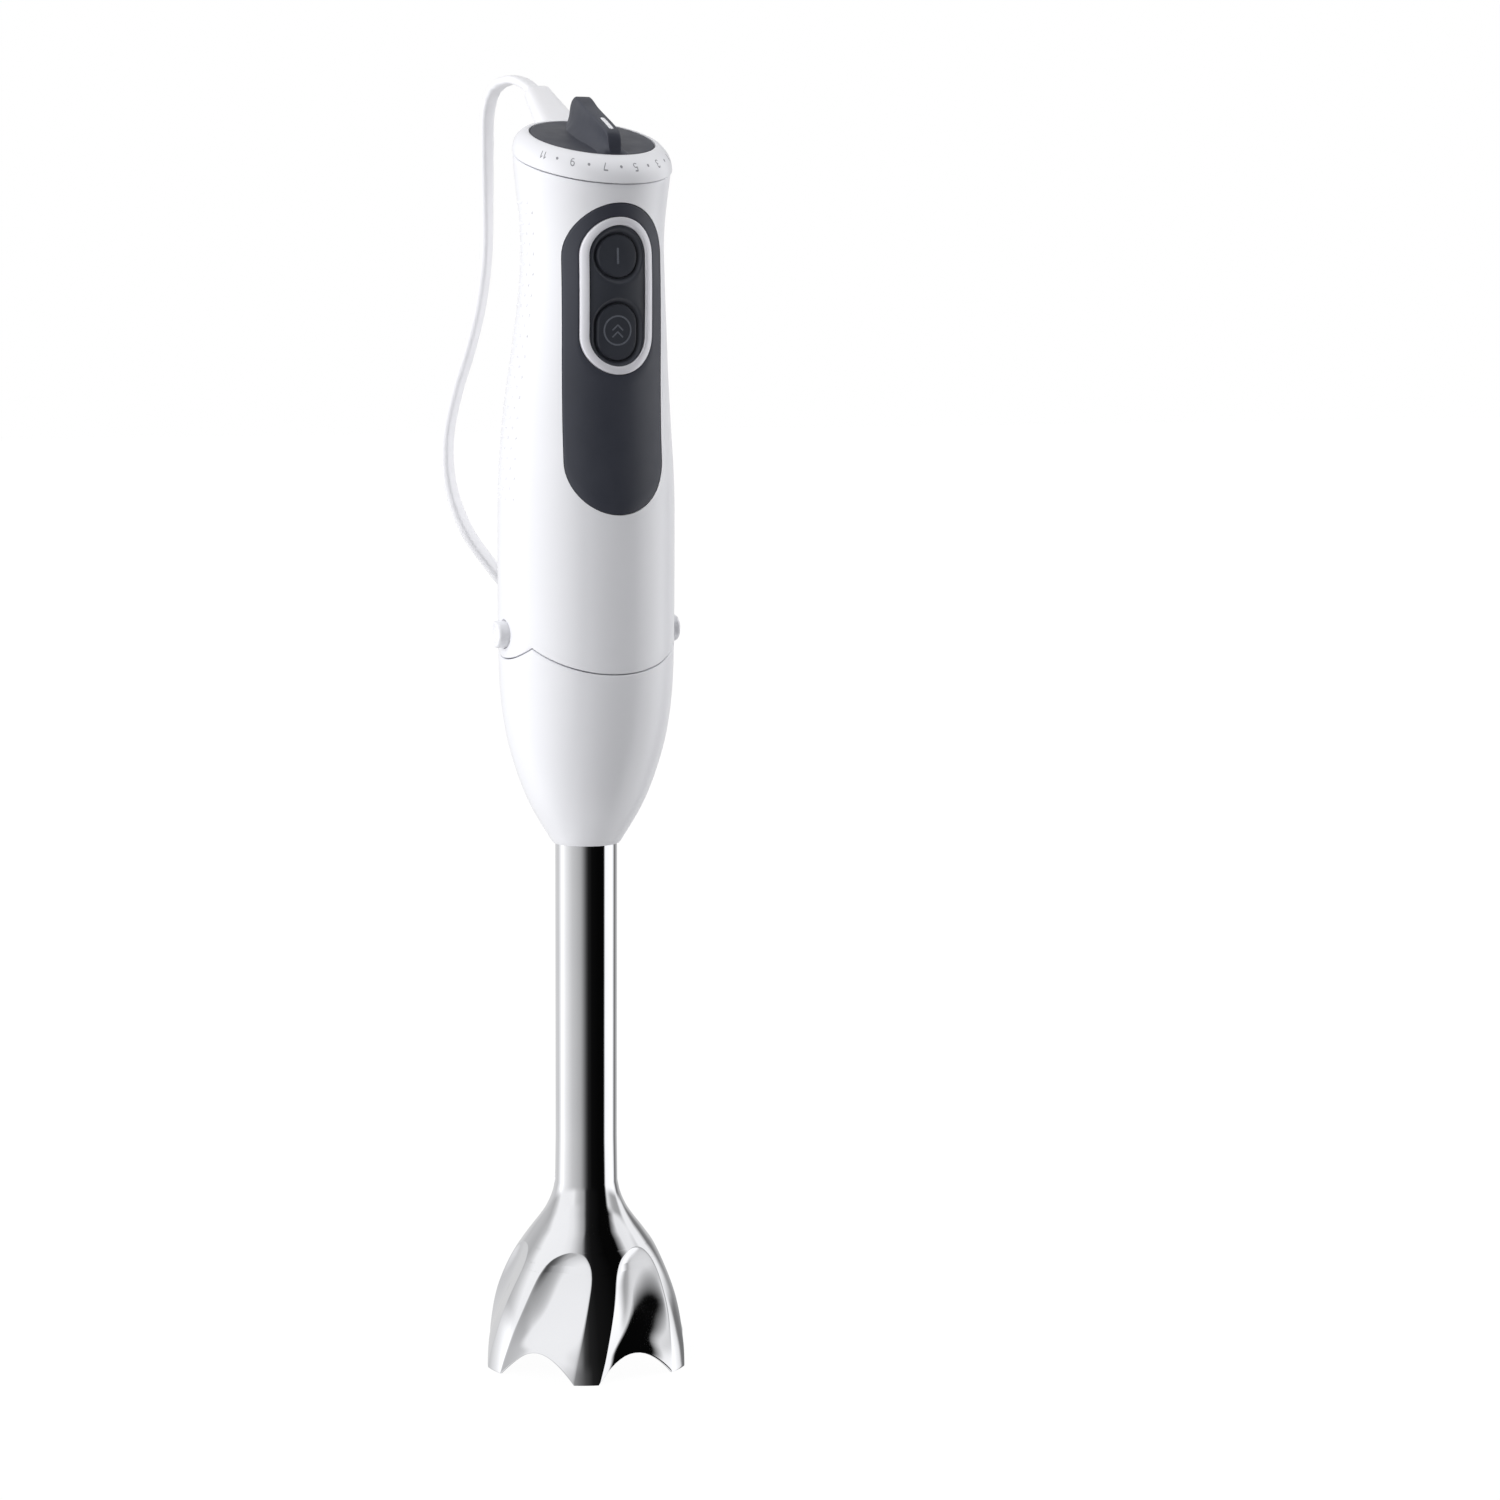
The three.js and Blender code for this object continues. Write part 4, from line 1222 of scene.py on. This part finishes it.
def cap_part():
    """The cap's skin: up its side, over the shoulder, down the dial's recess and back inside."""
    seam = (CAP_SEAM_HEIGHT - CAP_TOP_HEIGHT) * math.cos(TILT) + GAP / 2
    rim, floor = DIAL_RADIUS + DIAL_GAP, -DIAL_THICK - 0.3
    inside = [
        (rim, floor + 0.2), (rim - 0.3, floor), (CAP_HOLE, floor), (CAP_HOLE, CAP_CEILING),
        (CAP_INSIDE, CAP_CEILING), (CAP_INSIDE, seam + 0.4), (CAP_INSIDE + 0.2, seam),
    ]
    columns = []
    for a in round_angles():
        column = []
        for up, inset in ((0, 0.45), (0.05, 0.2), (0.2, 0.05), (0.45, 0)):
            x, y, z = cap_side(a, seam + up)
            shrink = 1 - inset / CAP_RADIUS
            column.append((x * shrink, y * shrink, z))
        for k in range(1, 5):
            column.append(cap_side(a, mix(seam + 0.45, SHOULDER[0][1], k / 5)))
        column += [shoulder_point(a, share) for share in SHOULDER_ROWS]
        column += [(r * math.sin(a), -r * math.cos(a), z) for r, z in inside]
        columns.append(column)
    return moved(loft(columns, along=True), TO_CAP)


piece("cap", cap_part(), "white_plastic", "motor_unit", ("top_cap",), 40)

# The stroke of each sign in a box one high.
GLYPHS = {
    "1": [(0.1, 0.76), (0.34, 1.0), (0.34, 0)],
    "3": [
        (0.02, 0.84), (0.14, 0.96), (0.32, 1.0), (0.5, 0.92), (0.55, 0.76), (0.46, 0.59), (0.24, 0.53),
        (0.48, 0.48), (0.6, 0.3), (0.54, 0.1), (0.34, 0.0), (0.12, 0.03), (0.0, 0.16),
    ],
    "5": [
        (0.55, 1.0), (0.12, 1.0), (0.06, 0.55), (0.3, 0.63), (0.52, 0.54), (0.6, 0.32), (0.52, 0.1),
        (0.3, 0.0), (0.02, 0.1),
    ],
    "7": [(0.0, 1.0), (0.6, 1.0), (0.2, 0.0)],
    "9": [
        (0.58, 0.7), (0.5, 0.92), (0.3, 1.0), (0.09, 0.91), (0.02, 0.69), (0.11, 0.5), (0.3, 0.43),
        (0.5, 0.51), (0.58, 0.7), (0.56, 0.4), (0.45, 0.13), (0.25, 0.0), (0.07, 0.06),
    ],
    ".": circle(0.3, 0.5, 0.12, 6),
}
SCALE = ["11", ".", "9", ".", "7", ".", "5", ".", "3", ".", "1"]
SCALE_STEP = 12.3
GLYPH_HEIGHT = 1.9
GLYPH_SHARE = (0.13, 0.38)
SCALE_RADIUS = 21.6


def scale_part():
    """Numbers for the speeds printed round the shoulder, to be read from behind."""
    parts = []
    for i, word in enumerate(SCALE):
        middle = math.radians((i - (len(SCALE) - 1) / 2) * SCALE_STEP)
        for j, sign in enumerate(word):
            offset = (j - (len(word) - 1) / 2) * 0.62 - 0.3

            def place(u, v, lift, middle=middle, offset=offset):
                angle = middle - (u + offset) * GLYPH_HEIGHT / SCALE_RADIUS
                share = mix(GLYPH_SHARE[1], GLYPH_SHARE[0], v)
                x, y, z = shoulder_point(angle, share)
                return x, y, z + lift * 0.35

            if sign == ".":
                parts.append(ribbon(GLYPHS[sign], 0.2, place, closed=True))
            else:
                parts.append(ribbon(densified(GLYPHS[sign], 0.12), 0.13, place))
    return moved(joined(parts), TO_CAP)


inked("speed_scale", scale_part(), PRINT_INK, "dark_plastic", "motor_unit")

# Crest of the dial along its length (front negative): (place, height, half width on top, at the base).
CREST = [
    (-18.2, 0.2, 1.6, 5.4), (-17.7, 1.7, 1.9, 5.5), (-16.9, 3.6, 2.1, 5.5), (-15.9, 5.1, 2.2, 5.4),
    (-14.8, 5.95, 2.25, 5.2), (-13.5, 6.35, 2.3, 5.1), (-11, 6.75, 2.3, 5.1), (-8, 7.15, 2.3, 5.4),
    (-4, 7.55, 2.35, 5.9), (0, 7.95, 2.4, 6.1), (4, 8.45, 2.45, 6.0), (7, 9.1, 2.5, 5.7),
    (9.2, 9.5, 2.5, 4.9), (10.8, 9.45, 2.5, 4.4), (12.2, 8.5, 2.45, 3.8), (13.3, 7.3, 2.35, 3.4),
    (14.3, 5.2, 2.1, 3.0), (15.3, 2.4, 1.6, 2.4), (16.1, 0.2, 1.0, 1.8),
]
CREST_EDGE = 0.55
FLANK_SWEEP = 3.4


def crest_part():
    """The finger crest: a ridge that slopes down to the front, its sides sweeping out into the plate."""
    columns = [[(c[0], c[k]) for c in CREST] for k in (1, 2, 3)]
    curves = []
    steps = 72
    for i in range(steps + 1):
        y = mix(CREST[0][0], CREST[-1][0], i / steps)
        height, top, base = (smooth_at(table, y) for table in columns)
        drop = CREST_EDGE * min(1, height / 4)
        curve = []
        for k in range(15):
            t = k / 14
            x = top + (base - top) * (1 - t) ** FLANK_SWEEP
            curve.append((x, y, mix(-0.25, height - drop, t)))
        for k in range(1, 6):
            a = math.pi / 2 * k / 6
            curve.append((top - 0.8 * (1 - math.cos(a)), y, height - drop + drop * math.sin(a)))
        half = [(-x, yy, z) for x, yy, z in reversed(curve)]
        curves.append([*curve, (0, y, height), *half])
    return capped(curves)


def dial_part():
    """The dial's plate with a rounded rim and a stem underneath."""
    rim, under = DIAL_RADIUS, -DIAL_THICK
    profile = [
        (0, 0), (rim - 0.9, 0), (rim - 0.35, -0.06), (rim - 0.08, -0.3), (rim, -0.7), (rim, under + 0.3),
        (rim - 0.3, under), (2, under), (2, -12), (0, -12),
    ]
    return capped([level_ring(r, z, round_angles(128)) for r, z in profile])


dial_plate = object_of("dial", moved(dial_part(), TO_CAP))
crest = object_of("dial_crest", moved(crest_part(), TO_CAP))
finished(dial_plate, "dark_plastic", "speed_dial", ("speed_dial",))
finished(crest, "dark_plastic", "speed_dial")


POINTER_START = -13.8
POINTER_END = -5.4
POINTER_HALF = 0.66


def pointer_part():
    """The white inlay on the front half of the crest."""
    ridge = [(c[0], c[1]) for c in CREST]
    curves = []
    steps = 24
    for i in range(steps + 1):
        y = mix(POINTER_START, POINTER_END, i / steps)
        tip = min(y - POINTER_START, POINTER_END - y)
        short = max(0, (POINTER_HALF - tip) / POINTER_HALF)
        w = POINTER_HALF * math.sqrt(max(0.0, 1 - short**2)) + 0.01
        z = smooth_at(ridge, y)
        outline = [(-w, -0.3), (w, -0.3), (w, 0.03), (w * 0.8, 0.09), (-w * 0.8, 0.09), (-w, 0.03)]
        curves.append([(x, y, z + up) for x, up in outline])
    return moved(capped(curves), TO_CAP)


piece("pointer", pointer_part(), "white_plastic", "speed_dial", ("dial_pointer",))

# ---------------- release buttons


def release_part(side):
    """A round button with a shallow dish and two fine ridges to feel."""
    r = RELEASE_RADIUS
    profile = [
        (0, 22.4), (r + 1, 22.4), (r + 1, 23.6), (r, 23.6), (r, 28.6), (r - 0.1, 29.1), (r - 0.4, 29.45),
        (r - 0.8, 29.55), (r - 1.2, 29.4), (2.6, 29.15), (2.45, 29.25), (2.25, 29.25), (2.1, 29.1),
        (1.7, 29.05), (1.55, 29.15), (1.35, 29.15), (1.2, 29.0), (0.6, 28.98), (0, 28.97),
    ]
    curves = []
    for radius, reach in profile:
        curves.append(ring_of(radius, 64, lambda u, v: (side * reach, u, RELEASE_HEIGHT + v)))
    return capped(curves)


for side, word in ((-1, "left"), (1, "right")):
    body = f"release_button_{word}"
    piece(f"latch_button_{word}", release_part(side), "white_plastic", body, (body,))

# ---------------- floor and light


FLOOR_HALF = 6000
FLOOR_GLOW = 0.97


def add_floor():
    """A floor that glows nearly white and reflects very little light."""
    mesh = bpy.data.meshes.new("floor")
    half = FLOOR_HALF * MM
    corners = [(-half, -half, 0), (half, -half, 0), (half, half, 0), (-half, half, 0)]
    mesh.from_pydata(corners, [], [(0, 1, 2, 3)])
    floor = bpy.data.objects.new("floor", mesh)
    bpy.context.scene.collection.objects.link(floor)
    material = bpy.data.materials.new("floor")
    material.use_nodes = True
    shader = material.node_tree.nodes["Principled BSDF"]
    shader.inputs["Base Color"].default_value = (0.05, 0.05, 0.05, 1)
    shader.inputs["Roughness"].default_value = 0.9
    shader.inputs["Specular IOR Level"].default_value = 0
    shader.inputs["Emission Color"].default_value = (1, 1, 1, 1)
    shader.inputs["Emission Strength"].default_value = FLOOR_GLOW
    mesh.materials.append(material)
    floor.visible_glossy = False
    floor.visible_diffuse = False


# Brightness of the studio round the object at three heights: (degrees to the right of the
# camera's side, brightness).
STUDIO_LOW = [
    (-180, 0.7), (-150, 0.72), (-128, 0.68), (-114, 1.0), (-100, 1.5), (-90, 1.15), (-80, 0.95),
    (-70, 0.84), (-53, 0.66), (-37, 0.56), (-21, 0.45), (-14, 0.33), (-7, 0.187), (0, 0.07), (7, 0.017),
    (20, 0.004), (45, 0.002), (70, 0.002), (76, 1.15), (112, 1.25), (122, 0.9), (126, 0.2), (133, 0.2),
    (150, 0.5), (180, 0.7),
]
STUDIO_MIDDLE = [
    (-180, 0.6), (-140, 0.6), (-118, 0.5), (-106, 0.7), (-94, 1.05), (-44, 1.02), (-35, 0.75), (-27, 0.6),
    (-18, 0.48), (-10, 0.38), (-5, 0.22), (-1, 0.05), (4, 0.018), (14, 0.008), (45, 0.002), (69, 0.002),
    (76, 0.85), (82, 0.75), (90, 0.5), (98, 0.42), (112, 0.42), (120, 1.05), (134, 1.0), (143, 0.2),
    (152, 0.25), (180, 0.6),
]
STUDIO_HIGH = [
    (-180, 0.6), (-128, 0.55), (-112, 0.6), (-100, 1.05), (-60, 1.05), (-42, 0.95), (-30, 0.75), (-18, 0.52),
    (-10, 0.4), (-5, 0.22), (-1, 0.05), (4, 0.018), (14, 0.008), (45, 0.002), (72, 0.002), (82, 0.4),
    (90, 0.95), (134, 1.05), (146, 0.3), (160, 0.6), (180, 0.6),
]
OVERHEAD = 1.1
UNDERFOOT = 0.9
PEAK = 1.6
# Degrees up between which one brightness gives way to the next.
TO_MIDDLE = (-3, 8)
TO_HIGH = (22, 33)
TO_OVERHEAD = (62, 74)
FROM_UNDERFOOT = (-62, -45)
# Wide soft lamps: (degrees to the right of the camera's side, degrees up, irradiance, width in degrees).
LAMPS = [(-48, 14, 1.85, 80), (112, 14, 1.8, 50)]


def add_lamps():
    """Soft lamps for the matt surfaces; they leave no image of themselves in the polished ones."""
    for i, (side, height, strength, width) in enumerate(LAMPS):
        data = bpy.data.lights.new(f"lamp_{i}", "SUN")
        data.energy = strength
        data.angle = math.radians(width)
        lamp = bpy.data.objects.new(f"lamp_{i}", data)
        bpy.context.scene.collection.objects.link(lamp)
        turn = CAMERA_TURN + math.radians(side)
        up = math.radians(height)
        towards = Vector((math.sin(turn) * math.cos(up), -math.cos(turn) * math.cos(up), math.sin(up)))
        lamp.rotation_euler = towards.to_track_quat("Z", "Y").to_euler()
        lamp.visible_glossy = False
        lamp.visible_camera = False


def add_studio():
    """Surroundings that light the object; the camera sees plain white instead."""
    world = bpy.data.worlds.new("studio")
    bpy.context.scene.world = world
    world.use_nodes = True
    tree = world.node_tree
    make, link = tree.nodes.new, tree.links.new

    def maths(operation, *inputs):
        node = make("ShaderNodeMath")
        node.operation = operation
        for socket, value in zip(node.inputs, inputs):
            if isinstance(value, (int, float)):
                socket.default_value = value
            else:
                link(value, socket)
        return node.outputs[0]

    def eased(value, low, high):
        node = make("ShaderNodeMapRange")
        node.interpolation_type = "SMOOTHSTEP"
        node.inputs["From Min"].default_value = math.sin(math.radians(low))
        node.inputs["From Max"].default_value = math.sin(math.radians(high))
        link(value, node.inputs["Value"])
        return node.outputs["Result"]

    def mixed(factor, a, b):
        node = make("ShaderNodeMix")
        link(factor, node.inputs["Factor"])
        for name, value in (("A", a), ("B", b)):
            if isinstance(value, float):
                node.inputs[name].default_value = value
            else:
                link(value, node.inputs[name])
        return node.outputs["Result"]

    def brightness(table, share):
        node = make("ShaderNodeFloatCurve")
        curve = node.mapping.curves[0]
        spots = [((degrees + 180) / 360, value / PEAK) for degrees, value in table]
        curve.points[0].location, curve.points[1].location = spots[0], spots[-1]
        for x, y in spots[1:-1]:
            curve.points.new(x, y)
        for point in curve.points:
            point.handle_type = "VECTOR"
        node.mapping.update()
        link(share, node.inputs["Value"])
        return maths("MULTIPLY", node.outputs["Value"], PEAK)

    place = make("ShaderNodeTexCoord")
    turn = make("ShaderNodeVectorRotate")
    turn.rotation_type = "Z_AXIS"
    turn.inputs["Angle"].default_value = -CAMERA_TURN
    link(place.outputs["Generated"], turn.inputs["Vector"])
    parts = make("ShaderNodeSeparateXYZ")
    link(turn.outputs["Vector"], parts.inputs["Vector"])
    up = parts.outputs["Z"]
    angle = maths("ARCTAN2", parts.outputs["X"], maths("MULTIPLY", parts.outputs["Y"], -1))
    share = maths("MULTIPLY_ADD", angle, 1 / (2 * math.pi), 0.5)
    waist = mixed(eased(up, *TO_MIDDLE), brightness(STUDIO_LOW, share), brightness(STUDIO_MIDDLE, share))
    walls = mixed(eased(up, *TO_HIGH), waist, brightness(STUDIO_HIGH, share))
    roofed = mixed(eased(up, *TO_OVERHEAD), walls, OVERHEAD)
    whole = mixed(eased(up, *FROM_UNDERFOOT), UNDERFOOT, roofed)
    seen = make("ShaderNodeLightPath")
    link(mixed(seen.outputs["Is Camera Ray"], whole, 1.0), tree.nodes["Background"].inputs["Strength"])
    tree.nodes["Background"].inputs["Color"].default_value = (1, 1, 1, 1)


add_floor()
add_lamps()
add_studio()
bpy.context.scene.view_settings.view_transform = "Standard"
